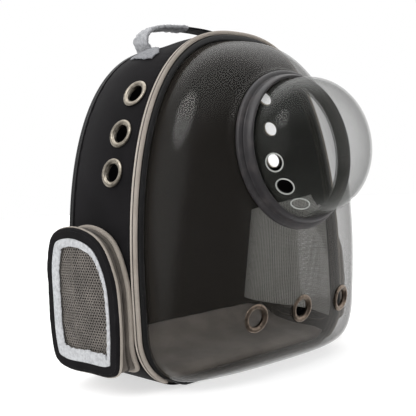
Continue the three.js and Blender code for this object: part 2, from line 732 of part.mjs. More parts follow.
function buildBay(side, suffix, envelope) {
  const cordWidth = 2 * BAY_PIPING_RADIUS + CLEARANCE;
  const faceBack = BAY_FACE_THICKNESS + CLEARANCE;
  const frameInner = cordWidth + BAY_FRAME_WIDTH;
  const trimOuter = frameInner - BAY_TRIM_LAP;
  const near = (y, z) => bodyHalfWidth(z) - WALL_INSET - WALL_THICKNESS;
  const behindFace = (depth) => (y) => bayFace(y) - depth;

  const band = bayRing(side, cordWidth, cordWidth + BAY_BAND_THICKNESS, near, behindFace(faceBack));
  addPiece(`bay_band_${suffix}`, geometryOf(solid(band).subtract(envelope)), 'zip');
  const seat = (y, z) => bodyHalfWidth(z) - WALL_INSET + BAY_PIPING_RADIUS;
  const seatCord = bayCord(side, seat, BAY_PIPING_RADIUS);
  addPiece(`bay_seat_piping_${suffix}`, geometryOf(solid(seatCord).subtract(envelope)), 'piping');
  const edge = behindFace(faceBack + BAY_EDGE_PIPING_RADIUS);
  addPiece(`bay_edge_piping_${suffix}`, bayCord(side, edge, BAY_EDGE_PIPING_RADIUS), 'piping');
  addPiece(`bay_frame_${suffix}`, bayRing(
    side, BAY_FRAME_SETBACK, frameInner, behindFace(BAY_FACE_THICKNESS), behindFace(0)), 'fabric');
  addPiece(`bay_trim_${suffix}`, bayRing(side, trimOuter, trimOuter + BAY_TRIM_WIDTH,
    behindFace(-CLEARANCE), behindFace(-CLEARANCE - BAY_TRIM_THICKNESS)), 'trim');

  const meshInset = cordWidth + BAY_BAND_THICKNESS + CLEARANCE;
  const meshLoops = [faceBack + BAY_MESH_THICKNESS, faceBack].map((depth) => {
    return bayOutline.map((station) => bayPoint(side, station, meshInset, behindFace(depth)));
  });
  addPiece(`bay_mesh_${suffix}`, sweep(meshLoops, false), 'mesh');
}

// Opening in the fabric wall behind a bay.
function bayWindow(side) {
  const reaches = [HALF_WIDTH - CORNER_RADIUS, HALF_WIDTH + BAY_FRONT_DEPTH];
  return solid(sweep(reaches.map((reach) => {
    return bayOutline.map((station) => bayPoint(side, station, BAY_WINDOW_INSET, () => reach));
  }), false));
}

// A flat strip along a path, with its width held along a given direction.
function ribbon(points, width, thickness, widthAxis, steps, from = 0, to = 1) {
  const curve = new THREE.CatmullRomCurve3(points, false, 'centripetal');
  const sections = Array.from({ length: steps + 1 }, (_, i) => {
    const share = mix(from, to, i / steps);
    const centre = curve.getPointAt(share);
    const tangent = curve.getTangentAt(share);
    const across = widthAxis.clone().addScaledVector(tangent, -widthAxis.dot(tangent)).normalize();
    const normal = new THREE.Vector3().crossVectors(tangent, across);
    const corners = [[-1, -1], [1, -1], [1, 1], [-1, 1]];
    return corners.map(([a, n]) => centre.clone()
      .addScaledVector(across, a * width / 2).addScaledVector(normal, n * thickness / 2));
  });
  return sweep(sections, false);
}

function buildHandle(envelope) {
  const y = wallFront + HANDLE_SETBACK;
  const half = HANDLE_PATH.map(({ across, up }) => {
    return new THREE.Vector3(-HANDLE_HALF_SPAN * across, y, HEIGHT + HANDLE_RISE * up);
  });
  const path = [...half, ...half.slice(0, -1).reverse().map((p) => new THREE.Vector3(-p.x, p.y, p.z))];
  const axis = new THREE.Vector3(0, 1, 0);
  const webbing = ribbon(path, HANDLE_WIDTH, HANDLE_THICKNESS, axis, HANDLE_STEPS);
  addPiece('carry_handle', geometryOf(solid(webbing).subtract(envelope)), 'binding');
  const inner = 2 * CLEARANCE;
  const outer = inner + 2 * SLEEVE_WALL;
  const sleeve = ribbon(path, HANDLE_WIDTH + outer, HANDLE_THICKNESS + outer, axis, HANDLE_STEPS / 2,
    0, SLEEVE_END);
  const bore = ribbon(path, HANDLE_WIDTH + inner, HANDLE_THICKNESS + inner, axis, HANDLE_STEPS);
  addPiece('handle_sleeve', geometryOf(solid(sleeve).subtract(solid(bore)).subtract(envelope)), 'trim');
}

function buildStrap(side, suffix, envelope) {
  const start = backRear + CLEARANCE;
  const path = STRAP_PATH.map(({ down, spread, reach }) => new THREE.Vector3(
    side * mix(STRAP_TOP_X, STRAP_BOTTOM_X, spread), start + STRAP_REACH * reach,
    mix(STRAP_TOP, STRAP_BOTTOM, down)));
  const axis = new THREE.Vector3(1, 0, 0);
  const pad = ribbon(path, STRAP_WIDTH, STRAP_THICKNESS, axis, STRAP_STEPS);
  addPiece(`shoulder_strap_${suffix}`, geometryOf(solid(pad).subtract(envelope)), 'fabric');
  const end = path[path.length - 1];
  const run = new THREE.Vector3().subVectors(end, path[path.length - 2]).normalize();
  const top = end.clone().addScaledVector(run, CLEARANCE);
  const bend = end.clone().addScaledVector(run, STRAP_WIDTH / 2);
  const foot = new THREE.Vector3(side * WEBBING_BOTTOM_X, start + WEBBING_THICKNESS / 2, WEBBING_BOTTOM);
  const above = foot.clone().setZ(mix(WEBBING_BOTTOM, STRAP_BOTTOM, 0.3));
  const webbing = ribbon([top, bend, above, foot], WEBBING_WIDTH, WEBBING_THICKNESS, axis, WEBBING_STEPS);
  addPiece(`strap_webbing_${suffix}`, geometryOf(solid(webbing).subtract(envelope)), 'binding');
}

const frontSpots = FRONT_EYELETS_X.map((x) => shellSpot(x, FRONT_EYELET_HEIGHT));
const sides = [{ side: -1, suffix: 'left' }, { side: 1, suffix: 'right' }];
const sideSpots = sides.flatMap(({ side, suffix }) => SIDE_EYELETS[suffix].map((eyelet, i) => ({
  name: `eyelet_${suffix}_${i + 1}`, spot: wallSpot(side, eyelet.setback, eyelet.height),
})));

let wall = solid(wallBody());
sideSpots.forEach(({ spot }) => { wall = wall.subtract(eyeletHole(spot)); });
sides.forEach(({ side }) => { wall = wall.subtract(bayWindow(side)); });
addPiece('fabric_wall', geometryOf(wall), 'fabric');

buildBack();
buildPad();
buildRim();
buildPiping('zip_piping_rear', rearPipingY);
buildPiping('zip_piping_front', frontPipingY);
buildShell(frontSpots);
buildPorthole();
frontSpots.forEach((spot, i) => buildEyelet(`eyelet_front_${i + 1}`, spot));
sideSpots.forEach(({ name, spot }) => buildEyelet(name, spot));

const envelope = solid(bodyEnvelope(CLEARANCE));
sides.forEach(({ side, suffix }) => buildBay(side, suffix, envelope));
buildHandle(envelope);
sides.forEach(({ side, suffix }) => buildStrap(side, suffix, envelope));

// The origin goes under the middle of the whole object.
const box = new THREE.Box3().setFromObject(group);
group.position.y = -(box.min.y + box.max.y) / 2;

export default group;
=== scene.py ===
"""Looks of a bubble pet carrier backpack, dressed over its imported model.

Every size is in metres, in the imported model's frame: +Z up, the clear front towards -Y. Depths are
measured from the front face of the clear front's flange, and Depth moves them into the frame.
Each surface is a function of two parameters, worked out on a grid as whole arrays.
"""

from __future__ import annotations

import logging
import math
from dataclasses import dataclass, field
from enum import Enum
from typing import Any, Callable, Sequence

import bmesh
import bpy
import numpy as np
from mathutils import Matrix, Vector


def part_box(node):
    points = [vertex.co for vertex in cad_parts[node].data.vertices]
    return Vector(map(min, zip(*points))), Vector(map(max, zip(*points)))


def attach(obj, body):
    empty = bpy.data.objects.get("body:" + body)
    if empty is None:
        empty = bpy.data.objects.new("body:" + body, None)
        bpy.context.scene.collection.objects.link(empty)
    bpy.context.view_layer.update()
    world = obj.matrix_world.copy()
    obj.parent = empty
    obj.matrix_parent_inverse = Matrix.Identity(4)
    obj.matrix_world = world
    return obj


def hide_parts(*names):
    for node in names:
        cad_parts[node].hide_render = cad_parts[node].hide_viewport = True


Array = np.ndarray
Piece = bpy.types.Object
Material = bpy.types.Material
Socket = bpy.types.NodeSocket
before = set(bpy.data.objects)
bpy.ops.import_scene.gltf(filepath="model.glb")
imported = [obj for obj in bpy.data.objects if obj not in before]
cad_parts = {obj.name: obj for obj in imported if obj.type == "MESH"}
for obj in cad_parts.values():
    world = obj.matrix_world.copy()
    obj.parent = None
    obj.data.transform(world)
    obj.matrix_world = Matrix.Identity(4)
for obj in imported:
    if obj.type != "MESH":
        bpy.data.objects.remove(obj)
log = logging.getLogger("carrier")
TAU = 2 * math.pi
INWARDS = np.array([0.0, 1.0, 0.0])
BODY = "root"
FLANGE_THICKNESS = 0.002
FLANGE_Y = float(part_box("clear_shell")[1][1]) - FLANGE_THICKNESS
CLEARANCE = 0.0003
WALL_INSET = 0.0015
WALL_THICKNESS = 0.002
RIM_INSET = 0.0056
RIM_BASE_INSET = 0.0007


class Side(Enum):
    """The side of the body, as seen by someone who looks at the clear front."""

    LEFT = -1
    RIGHT = 1

    @property
    def word(self) -> str:
        """The side's word in the names of pieces."""
        return self.name.lower()


# Numbers on arrays


def smooth(value: Array | float, low: float, high: float) -> Array:
    """3t^2 - 2t^3, where t is the share of the way from low to high."""
    t = np.clip((np.asarray(value, float) - low) / (high - low), 0.0, 1.0)
    return t * t * (3.0 - 2.0 * t)


def unit(vectors: Array) -> Array:
    """Vectors of length 1 along the last axis."""
    return vectors / np.maximum(np.linalg.norm(vectors, axis=-1, keepdims=True), 1e-12)


def runs(points: Array, closed: bool = False) -> Array:
    """Distance along a polyline at each point, and once more at the start if it is closed."""
    path = np.vstack([points, points[:1]]) if closed else points
    return np.concatenate([[0.0], np.cumsum(np.linalg.norm(np.diff(path, axis=0), axis=1))])


def respaced(points: Array, count: int, closed: bool = False) -> Array:
    """The polyline through count points at equal distances.

    Args:
        points: rows of coordinates, with any further columns.
        count: number of points wanted.
        closed: whether the last point runs back to the first.

    Returns:
        Rows with the same columns, interpolated along the distance.
    """
    path = np.vstack([points, points[:1]]) if closed else points
    run = runs(path[:, :3] if path.shape[1] > 3 else path)
    targets = np.linspace(0.0, run[-1], count + 1)[:-1] if closed else np.linspace(0.0, run[-1], count)
    return np.stack([np.interp(targets, run, path[:, k]) for k in range(path.shape[1])], axis=1)


def flowing(knots: Array, steps: int, closed: bool) -> Array:
    """A centripetal Catmull-Rom curve through knots, by repeated linear mixing.

    Args:
        knots: rows of coordinates.
        steps: points for each span.
        closed: whether the curve runs back to its first knot.

    Returns:
        Rows of points on the curve.
    """
    if closed:
        p0, p1, p2, p3 = np.roll(knots, 1, 0), knots, np.roll(knots, -1, 0), np.roll(knots, -2, 0)
    else:
        ends = np.vstack([2 * knots[0] - knots[1], knots, 2 * knots[-1] - knots[-2]])
        p0, p1, p2, p3 = ends[:-3], ends[1:-2], ends[2:-1], ends[3:]
    gap = [np.linalg.norm(b - a, axis=1) ** 0.5 for a, b in ((p0, p1), (p1, p2), (p2, p3))]
    t1 = gap[0][:, None, None]
    t2 = t1 + gap[1][:, None, None]
    t3 = t2 + gap[2][:, None, None]
    t = t1 + (np.arange(steps) / steps)[None, :, None] * (t2 - t1)
    p0, p1, p2, p3 = (p[:, None, :] for p in (p0, p1, p2, p3))
    a1 = (t1 - t) / t1 * p0 + t / t1 * p1
    a2 = (t2 - t) / (t2 - t1) * p1 + (t - t1) / (t2 - t1) * p2
    a3 = (t3 - t) / (t3 - t2) * p2 + (t - t2) / (t3 - t2) * p3
    b1 = (t2 - t) / t2 * a1 + t / t2 * a2
    b2 = (t3 - t) / (t3 - t1) * a2 + (t - t1) / (t3 - t1) * a3
    curve = ((t2 - t) / (t2 - t1) * b1 + (t - t1) / (t2 - t1) * b2).reshape(-1, knots.shape[1])
    return curve if closed else np.vstack([curve, knots[-1]])


def ripple(run: Array, length: float, seed: float) -> Array:
    """An uneven wave between -1 and 1: the mean of three sines whose lengths share no multiple.

    Args:
        run: distance along the piece.
        length: length of the main wave.
        seed: shift that sets one wave off from another.

    Returns:
        The wave at each distance.
    """
    a = np.sin(TAU * run / length + seed)
    b = np.sin(TAU * run / (0.618 * length) + 2.3 * seed + 1.0)
    c = np.sin(TAU * run / (1.53 * length) + 4.1 * seed + 2.0)
    return (a + b + c) / 3.0


def inside(polygon: Array, points: Array) -> Array:
    """Whether points lie in a polygon, by counting the edges that a ray along +axis 0 crosses.

    Args:
        polygon: its corners in order, as rows.
        points: array (..., 2).

    Returns:
        Array of truth values.
    """
    a, b = polygon, np.roll(polygon, -1, axis=0)
    p = points[..., None, :]
    spans = (a[:, 1] > p[..., 1]) != (b[:, 1] > p[..., 1])
    drop = np.where(np.abs(b[:, 1] - a[:, 1]) < 1e-12, 1e-12, b[:, 1] - a[:, 1])
    cross = a[:, 0] + (p[..., 1] - a[:, 1]) / drop * (b[:, 0] - a[:, 0])
    return (spans & (cross > p[..., 0])).sum(axis=-1) % 2 == 1


# Meshes


def grid_quads(rows: int, cols: int, wrap_rows: bool, wrap_cols: bool) -> Array:
    """Corner numbers of the quads of a grid of points, as an array (rows, cols, 4).

    Args:
        rows: number of rows of points.
        cols: number of points in a row.
        wrap_rows: whether the last row joins the first.
        wrap_cols: whether the last column joins the first.

    Returns:
        The corner numbers.
    """
    r, c = np.meshgrid(np.arange(rows if wrap_rows else rows - 1),
                       np.arange(cols if wrap_cols else cols - 1), indexing="ij")
    r1, c1 = (r + 1) % rows, (c + 1) % cols
    return np.stack([r * cols + c, r * cols + c1, r1 * cols + c1, r1 * cols + c], axis=-1)


def grid_uv(rows: int, cols: int, u: Array, v: Array) -> Array:
    """Texture coordinates of the corners of each quad of a grid, as an array (rows, cols, 4, 2).

    Args:
        rows: number of rows of quads.
        cols: number of quads in a row.
        u: distance at each column of points.
        v: distance at each row of points.

    Returns:
        The coordinates.
    """
    r, c = np.meshgrid(np.arange(rows), np.arange(cols), indexing="ij")
    us = np.stack([u[c], u[c + 1], u[c + 1], u[c]], axis=-1)
    vs = np.stack([v[r], v[r], v[r + 1], v[r + 1]], axis=-1)
    return np.stack([us, vs], axis=-1)


def shade_smooth(mesh: bpy.types.Mesh) -> None:
    """Smooth shading on every face."""
    mesh.polygons.foreach_set("use_smooth", np.ones(len(mesh.polygons), dtype=bool))


def points_of(piece: Piece) -> Array:
    """Points of a piece's mesh, as rows.

    Args:
        piece: the piece.

    Returns:
        Array (points, 3).
    """
    flat = np.empty(len(piece.data.vertices) * 3)
    piece.data.vertices.foreach_get("co", flat)
    return flat.reshape(-1, 3)


def new_object(name: str, points: Array, faces: Sequence[Sequence[int]],
               uv: Array | None = None) -> Piece:
    """A smooth-shaded object from points, faces and texture coordinates for each face corner.

    Args:
        name: name of the piece.
        points: array whose last axis is x, y, z.
        faces: corner numbers of each face.
        uv: coordinates of the face corners, in order.

    Returns:
        The new object.
    """
    mesh = bpy.data.meshes.new(name)
    mesh.from_pydata(np.asarray(points, float).reshape(-1, 3).tolist(), [], [list(f) for f in faces])
    if uv is not None:
        layer = mesh.uv_layers.new(name="cloth")
        layer.data.foreach_set("uv", np.asarray(uv, np.float32).ravel())
    shade_smooth(mesh)
    mesh.update()
    made = bpy.data.objects.new(name, mesh)
    bpy.context.scene.collection.objects.link(made)
    return made


def faced_out(piece: Piece, weld: bool = False) -> Piece:
    """The same piece with its faces turned outwards.

    Args:
        piece: the piece.
        weld: whether points that coincide are first made one, and what collapsed is removed.

    Returns:
        The piece.
    """
    shape = bmesh.new()
    shape.from_mesh(piece.data)
    if weld:
        bmesh.ops.remove_doubles(shape, verts=shape.verts, dist=1e-7)
        bmesh.ops.dissolve_degenerate(shape, dist=1e-8, edges=shape.edges)
        loose = [edge for edge in shape.edges if not edge.link_faces]
        bmesh.ops.delete(shape, geom=loose, context="EDGES")
    bmesh.ops.recalc_face_normals(shape, faces=shape.faces)
    shape.to_mesh(piece.data)
    shape.free()
    shade_smooth(piece.data)
    return piece


def loft(name: str, sections: Array, closed: bool, u: Array | None = None,
         v: Array | None = None) -> Piece:
    """A closed body through sections, each a closed loop of the same number of points.

    Args:
        name: name of the piece.
        sections: array (sections, points, 3).
        closed: whether the last section joins the first.
        u: distance round the loop, with one more value than points.
        v: distance along the run, with one more value than sections if it is closed.

    Returns:
        The new object.
    """
    rows, cols = sections.shape[:2]
    spans = rows if closed else rows - 1
    if u is None:
        u = runs(sections[rows // 2], closed=True)
    if v is None:
        v = runs(sections[:, 0], closed=closed)
    quads = grid_quads(rows, cols, closed, True).reshape(-1, 4)
    uv = grid_uv(spans, cols, u, v).reshape(-1, 2)
    faces = quads.tolist()
    if not closed:
        faces += [list(range(cols))[::-1], list(range((rows - 1) * cols, rows * cols))]
        caps = [np.stack([u[:-1], np.full(cols, end)], axis=-1) for end in (v[0], v[-1])]
        uv = np.vstack([uv, caps[0][::-1], caps[1]])
    return faced_out(new_object(name, sections, faces, uv))


def walled(name: str, outer: Array, inner: Array, u: Array, v: Array, wrap: bool = False,
           keep: Array | None = None) -> Piece:
    """A wall between two grids, closed at its edges and round the quads that are left out.

    Args:
        name: name of the piece.
        outer: array (rows, cols, 3) of the outer face.
        inner: the same of the inner face.
        u: distance across the columns.
        v: distance along the rows, with one more value if they wrap.
        wrap: whether the last row joins the first.
        keep: which quads are built.

    Returns:
        The new object.
    """
    rows, cols = outer.shape[:2]
    quads = grid_quads(rows, cols, wrap, False)
    uv = grid_uv(quads.shape[0], quads.shape[1], u, v)
    kept = np.ones(quads.shape[:2], bool) if keep is None else keep
    ring = np.pad(kept, ((1, 1), (1, 1)))
    if wrap:
        ring[0, 1:-1], ring[-1, 1:-1] = kept[-1], kept[0]
    beside = [ring[:-2, 1:-1], ring[1:-1, 2:], ring[2:, 1:-1], ring[1:-1, :-2]]
    size = rows * cols
    faces = [quads[kept], quads[kept][:, ::-1] + size]
    corners = [uv[kept], uv[kept][:, ::-1]]
    for k, neighbour in enumerate(beside):
        edge = kept & ~neighbour
        a, b = quads[edge][:, k], quads[edge][:, (k + 1) % 4]
        ua, ub = uv[edge][:, k], uv[edge][:, (k + 1) % 4]
        faces.append(np.stack([b, a, a + size, b + size], axis=-1))
        corners.append(np.stack([ub, ua, ua, ub], axis=1))
    every = np.vstack(faces)
    used, renumbered = np.unique(every, return_inverse=True)
    points = np.vstack([outer.reshape(-1, 3), inner.reshape(-1, 3)])[used]
    return faced_out(new_object(name, points, renumbered.reshape(-1, 4).tolist(),
                                np.vstack(corners).reshape(-1, 2)))


def lathe(name: str, profile: Array, segments: int, centre: Array, axis: Array,
          wobble: Callable[[Array], Array] | None = None) -> Piece:
    """A body of revolution: profile rows of (radius, height) turned about an axis.

    Args:
        name: name of the piece.
        profile: closed loop of (radius, height), or an open one that starts and ends on the axis.
        segments: number of steps round.
        centre: origin of the heights.
        axis: direction of the heights.
        wobble: factor on the radius for each angle.

    Returns:
        The new object.
    """
    side = unit(np.cross(axis, [0.0, 0.0, 1.0] if abs(axis[2]) < 0.9 else [1.0, 0.0, 0.0]))
    up = np.cross(side, axis)
    angle = TAU * np.arange(segments) / segments
    ring = np.cos(angle)[:, None] * side + np.sin(angle)[:, None] * up
    factor = np.ones(segments) if wobble is None else wobble(angle)
    radii = profile[None, :, 0] * factor[:, None]
    points = centre + radii[..., None] * ring[:, None, :] + profile[None, :, 1, None] * axis
    closed = profile[0, 0] > 1e-9
    mean = float(profile[:, 0].mean())
    v = mean * np.append(angle, TAU)
    if closed:
        return loft(name, points, True, None, v)
    u = runs(profile)
    quads = grid_quads(segments, len(profile), True, False)
    uv = grid_uv(segments, len(profile) - 1, u, v).reshape(-1, 2)
    return faced_out(new_object(name, points, quads.reshape(-1, 4).tolist(), uv), weld=True)


def softbox_loop(width: float, height: float, power: float, count: int) -> Array:
    """A superellipse of the given width and height: |2x/w|^power + |2y/h|^power = 1.

    Args:
        width: its whole width.
        height: its whole height.
        power: its squareness.
        count: number of points.

    Returns:
        Rows of (x, y).
    """
    angle = TAU * (np.arange(count) + 0.5) / count
    c, s = np.cos(angle), np.sin(angle)
    x = np.sign(c) * np.abs(c) ** (2 / power) * width / 2
    y = np.sign(s) * np.abs(s) ** (2 / power) * height / 2
    return np.stack([x, y], axis=-1)


def squared(path: Array, width_axis: Array) -> tuple[Array, Array]:
    """Directions across a path and away from it, with the first one near an axis.

    Args:
        path: rows of points.
        width_axis: the axis, before it is squared up to the path.

    Returns:
        Both directions at each point.
    """
    tangent = unit(np.gradient(path, axis=0))
    across = unit(width_axis - (tangent @ width_axis)[:, None] * tangent)
    return across, np.cross(tangent, across)


def ribbon(name: str, path: Array, width_axis: Array,
           profile: Array | Callable[[Array], Array]) -> Piece:
    """A strip along a path, with its width held along an axis.

    Args:
        name: name of the piece.
        path: rows of points.
        width_axis: direction of the width, before it is squared up to the path.
        profile: rows of (across, up), or a function of the run that gives one such loop per point.

    Returns:
        The new object.
    """
    across, normal = squared(path, width_axis)
    loops = profile(runs(path)) if callable(profile) else profile[None]
    sections = path[:, None] + loops[..., :1] * across[:, None] + loops[..., 1:] * normal[:, None]
    return loft(name, sections, False)


def cord(name: str, path: Array, out: Array, other: Array, radius: Array | float, sides: int,
         closed: bool = True) -> Piece:
    """A cord about a path: radius times cos on the outward direction and sin on the other.

    Args:
        name: name of the piece.
        path: rows of points.
        out: outward direction at each point.
        other: second direction of the section, at each point or for all.
        radius: radius, or one for each point.
        sides: points round a section.
        closed: whether the path runs back to its start.

    Returns:
        The new object.
    """
    angle = TAU * np.arange(sides) / sides
    reach = np.broadcast_to(np.asarray(radius, float), (len(path),))[:, None, None]
    second = np.broadcast_to(other, path.shape)[:, None]
    circle = np.cos(angle)[None, :, None] * out[:, None] + np.sin(angle)[None, :, None] * second
    return loft(name, path[:, None] + reach * circle, closed)


@dataclass(frozen=True)
class Stitch:
    """Sizes of a row of stitches: pitch, length, thickness of the thread, and lift of its middle."""

    pitch: float = 0.0032
    length: float = 0.0022
    thick: float = 0.0005
    lift: float = 0.0001


def stitch_row(path: Array, normal: Array, size: Stitch = Stitch()) -> tuple[Array, Array]:
    """Short thread stitches along a path, each a six-sided capsule.

    Args:
        path: rows of points.
        normal: outward direction at each point.
        size: sizes of the stitches.

    Returns:
        Points (stitches x 24, 3), and the number of the first point of each stitch.
    """
    count = max(int(runs(path)[-1] / size.pitch), 2)
    rows = respaced(np.hstack([path, normal]), count)
    centre, up = rows[:, :3], unit(rows[:, 3:])
    along = unit(np.gradient(centre, axis=0))
    across = np.cross(up, along)
    angle = TAU * np.arange(6) / 6
    ring = np.stack([np.cos(angle), np.sin(angle)], axis=-1) * size.thick / 2
    stations = ((-0.5, 0.45), (-0.34, 1.0), (0.34, 1.0), (0.5, 0.45))
    template = np.array([[a * size.length, s * x, s * y - size.thick * abs(a) / 2]
                         for a, s in stations for x, y in ring])
    points = (centre + up * size.lift)[:, None] + template[None, :, :1] * along[:, None] \
        + template[None, :, 1:2] * across[:, None] + template[None, :, 2:] * up[:, None]
    return points.reshape(-1, 3), np.arange(count) * 24


def stitches(name: str, rows: Sequence[tuple[Array, Array]]) -> Piece:
    """One piece from several rows of stitches.

    Args:
        name: name of the piece.
        rows: what stitch_row gives for each row.

    Returns:
        The new object.
    """
    points, faces, start = [], [], 0
    quads = grid_quads(4, 6, False, True).reshape(-1, 4)
    caps = np.array([np.arange(6)[::-1], np.arange(18, 24)])
    for spots, offsets in rows:
        faces += (quads[None] + offsets[:, None, None] + start).reshape(-1, 4).tolist()
        faces += (caps[None] + offsets[:, None, None] + start).reshape(-1, 6).tolist()
        points.append(spots)
        start += len(spots)
    return faced_out(new_object(name, np.vstack(points), faces))


def settle(piece: Piece, material: Material, slot: str, *nodes: str) -> Piece:
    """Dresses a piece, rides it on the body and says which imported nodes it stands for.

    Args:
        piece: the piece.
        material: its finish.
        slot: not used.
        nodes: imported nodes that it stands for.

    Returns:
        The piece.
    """
    piece.data.materials.clear()
    piece.data.materials.append(material)
    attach(piece, BODY)
    if nodes:
        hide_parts(*nodes)
    log.info("%s: %d faces for %s", piece.name, len(piece.data.polygons), ", ".join(nodes) or "looks alone")
    return piece


# Shader graph


class Value:
    """A shader socket on which arithmetic is written as Python expressions."""

    def __init__(self, graph: Graph, socket: Any) -> None:
        """Wraps a socket of a graph."""
        self.graph, self.socket = graph, socket

    def _math(self, operation: str, *others: Any) -> Value:
        """A Math node on this value and others."""
        return self.graph.math(operation, self, *others)

    def __add__(self, other: Any) -> Value:
        """The sum."""
        return self._math("ADD", other)

    __radd__ = __add__

    def __sub__(self, other: Any) -> Value:
        """The difference."""
        return self._math("SUBTRACT", other)

    def __rsub__(self, other: Any) -> Value:
        """The difference, from a number."""
        return self.graph.math("SUBTRACT", other, self)

    def __mul__(self, other: Any) -> Value:
        """The product."""
        return self._math("MULTIPLY", other)

    __rmul__ = __mul__

    def __truediv__(self, other: Any) -> Value:
        """The quotient."""
        return self._math("DIVIDE", other)

    def __pow__(self, other: Any) -> Value:
        """The power."""
        return self._math("POWER", other)

    def sine(self) -> Value:
        """The sine."""
        return self._math("SINE")

    def size(self) -> Value:
        """The absolute value."""
        return self._math("ABSOLUTE")

    def floor(self) -> Value:
        """The whole number below."""
        return self._math("FLOOR")

    def part(self) -> Value:
        """The part after the decimal point."""
        return self._math("FRACT")

    def between(self, low: float, high: float) -> Value:
        """3t^2 - 2t^3 of the share of the way from low to high.

        Args:
            low: value at which it is 0.
            high: value at which it is 1.

        Returns:
            The smooth share.
        """
        node = self.graph.node("ShaderNodeMapRange", {"interpolation_type": "SMOOTHSTEP"},
                               {"Value": self, "From Min": low, "From Max": high})
        return Value(self.graph, node.outputs["Result"])


class Graph:
    """The node graph of one material or world."""

    def __init__(self, owner: Material | bpy.types.World) -> None:
        """Empties the graph of its owner.

        Args:
            owner: the material or world.
        """
        owner.use_nodes = True
        self.owner = owner
        self.nodes = owner.node_tree.nodes
        self.links = owner.node_tree.links
        self.nodes.clear()

    @classmethod
    def of(cls, name: str) -> Graph:
        """The empty graph of a new material."""
        return cls(bpy.data.materials.new(name))

    def node(self, kind: str, settings: dict[str, Any] | None = None,
             inputs: dict[Any, Any] | None = None) -> bpy.types.ShaderNode:
        """A node of a type, with its settings first and then the values or links of its sockets.

        Args:
            kind: the node's type.
            settings: its settings.
            inputs: values or links of its sockets.

        Returns:
            The new node.
        """
        made = self.nodes.new(kind)
        for key, value in (settings or {}).items():
            setattr(made, key, value)
        for key, value in (inputs or {}).items():
            self.feed(self.socket(made, key), value)
        return made

    def feed(self, socket: Socket, value: Any) -> None:
        """Links a value to a socket, or sets the socket's own value.

        Args:
            socket: the input.
            value: number, colour, link or value.
        """
        source = value.socket if isinstance(value, Value) else value
        if isinstance(source, Socket):
            self.links.new(source, socket)
        else:
            socket.default_value = source

    @staticmethod
    def socket(made: bpy.types.ShaderNode, key: Any) -> Socket:
        """An input by its number, its name, or its identifier where names repeat.

        Args:
            made: the node.
            key: number, identifier or name.

        Returns:
            The socket.
        """
        if isinstance(key, int):
            return made.inputs[key]
        named = [s for s in made.inputs if s.identifier == key]
        return named[0] if named else made.inputs[key]

    def math(self, operation: str, *values: Any) -> Value:
        """A Math node on values and numbers."""
        made = self.node("ShaderNodeMath", {"operation": operation}, dict(enumerate(values)))
        return Value(self, made.outputs[0])

    def cloth_uv(self) -> tuple[Value, Value]:
        """The piece's own two texture coordinates, in metres.

        Returns:
            The coordinate across the piece, and the one along it.
        """
        uv = self.node("ShaderNodeUVMap", {"uv_map": "cloth"})
        split = self.node("ShaderNodeSeparateXYZ", {}, {0: uv.outputs[0]})
        return Value(self, split.outputs[0]), Value(self, split.outputs[1])

    def place(self) -> Socket:
        """Object coordinates, in metres."""
        return self.node("ShaderNodeTexCoord").outputs["Object"]

    def noise(self, scale: float, detail: float = 2.0, roughness: float = 0.5) -> Value:
        """Noise on Object coordinates, with scale in cells for each metre.

        Args:
            scale: cells for each metre.
            detail: number of finer layers.
            roughness: strength of the finer layers.

        Returns:
            The noise, between 0 and 1.
        """
        made = self.node("ShaderNodeTexNoise", {}, {
            "Vector": self.place(), "Scale": scale, "Detail": detail, "Roughness": roughness})
        return Value(self, made.outputs[0])

    def blend(self, factor: Value, low: Sequence[float], high: Any) -> Socket:
        """A colour between two colours.

        Args:
            factor: share of the way.
            low: colour at 0, as numbers or a link.
            high: colour at 1, as numbers or a link.

        Returns:
            The mixed colour's socket.
        """
        made = self.node("ShaderNodeMix", {"data_type": "RGBA"}, {
            "Factor_Float": factor, "A_Color": opaque(low) if isinstance(low, (tuple, list)) else low,
            "B_Color": opaque(high) if isinstance(high, (tuple, list)) else high})
        return made.outputs[2]

    def bump(self, height: Value, distance: float, strength: float = 1.0) -> Socket:
        """A bump of a height between 0 and 1, with its depth in metres."""
        made = self.node("ShaderNodeBump", {}, {"Height": height, "Distance": distance, "Strength": strength})
        return made.outputs[0]

    def surface(self, **inputs: Any) -> Material:
        """Ends the graph in a Principled shader, whose sockets are named with underscores for blanks.

        Args:
            inputs: values or links of the sockets.

        Returns:
            The material.
        """
        made = self.node("ShaderNodeBsdfPrincipled")
        names = {s.name.lower().replace(" ", "_"): s for s in made.inputs}
        for key, value in inputs.items():
            self.feed(names[key], opaque(value) if isinstance(value, tuple) else value)
        self.node("ShaderNodeOutputMaterial", {}, {"Surface": made.outputs[0]})
        return self.owner


def opaque(colour: Sequence[float]) -> tuple[float, ...]:
    """A colour with its fourth value, 1."""
    return (*colour[:3], 1.0)


# Finishes


class Weave(Enum):
    """How a cloth is woven: threads for each metre, across and along."""

    OXFORD = (1400.0, 1400.0)
    GROSGRAIN = (2600.0, 700.0)
    WEBBING = (420.0, 900.0)
    TAPE = (1500.0, 1100.0)


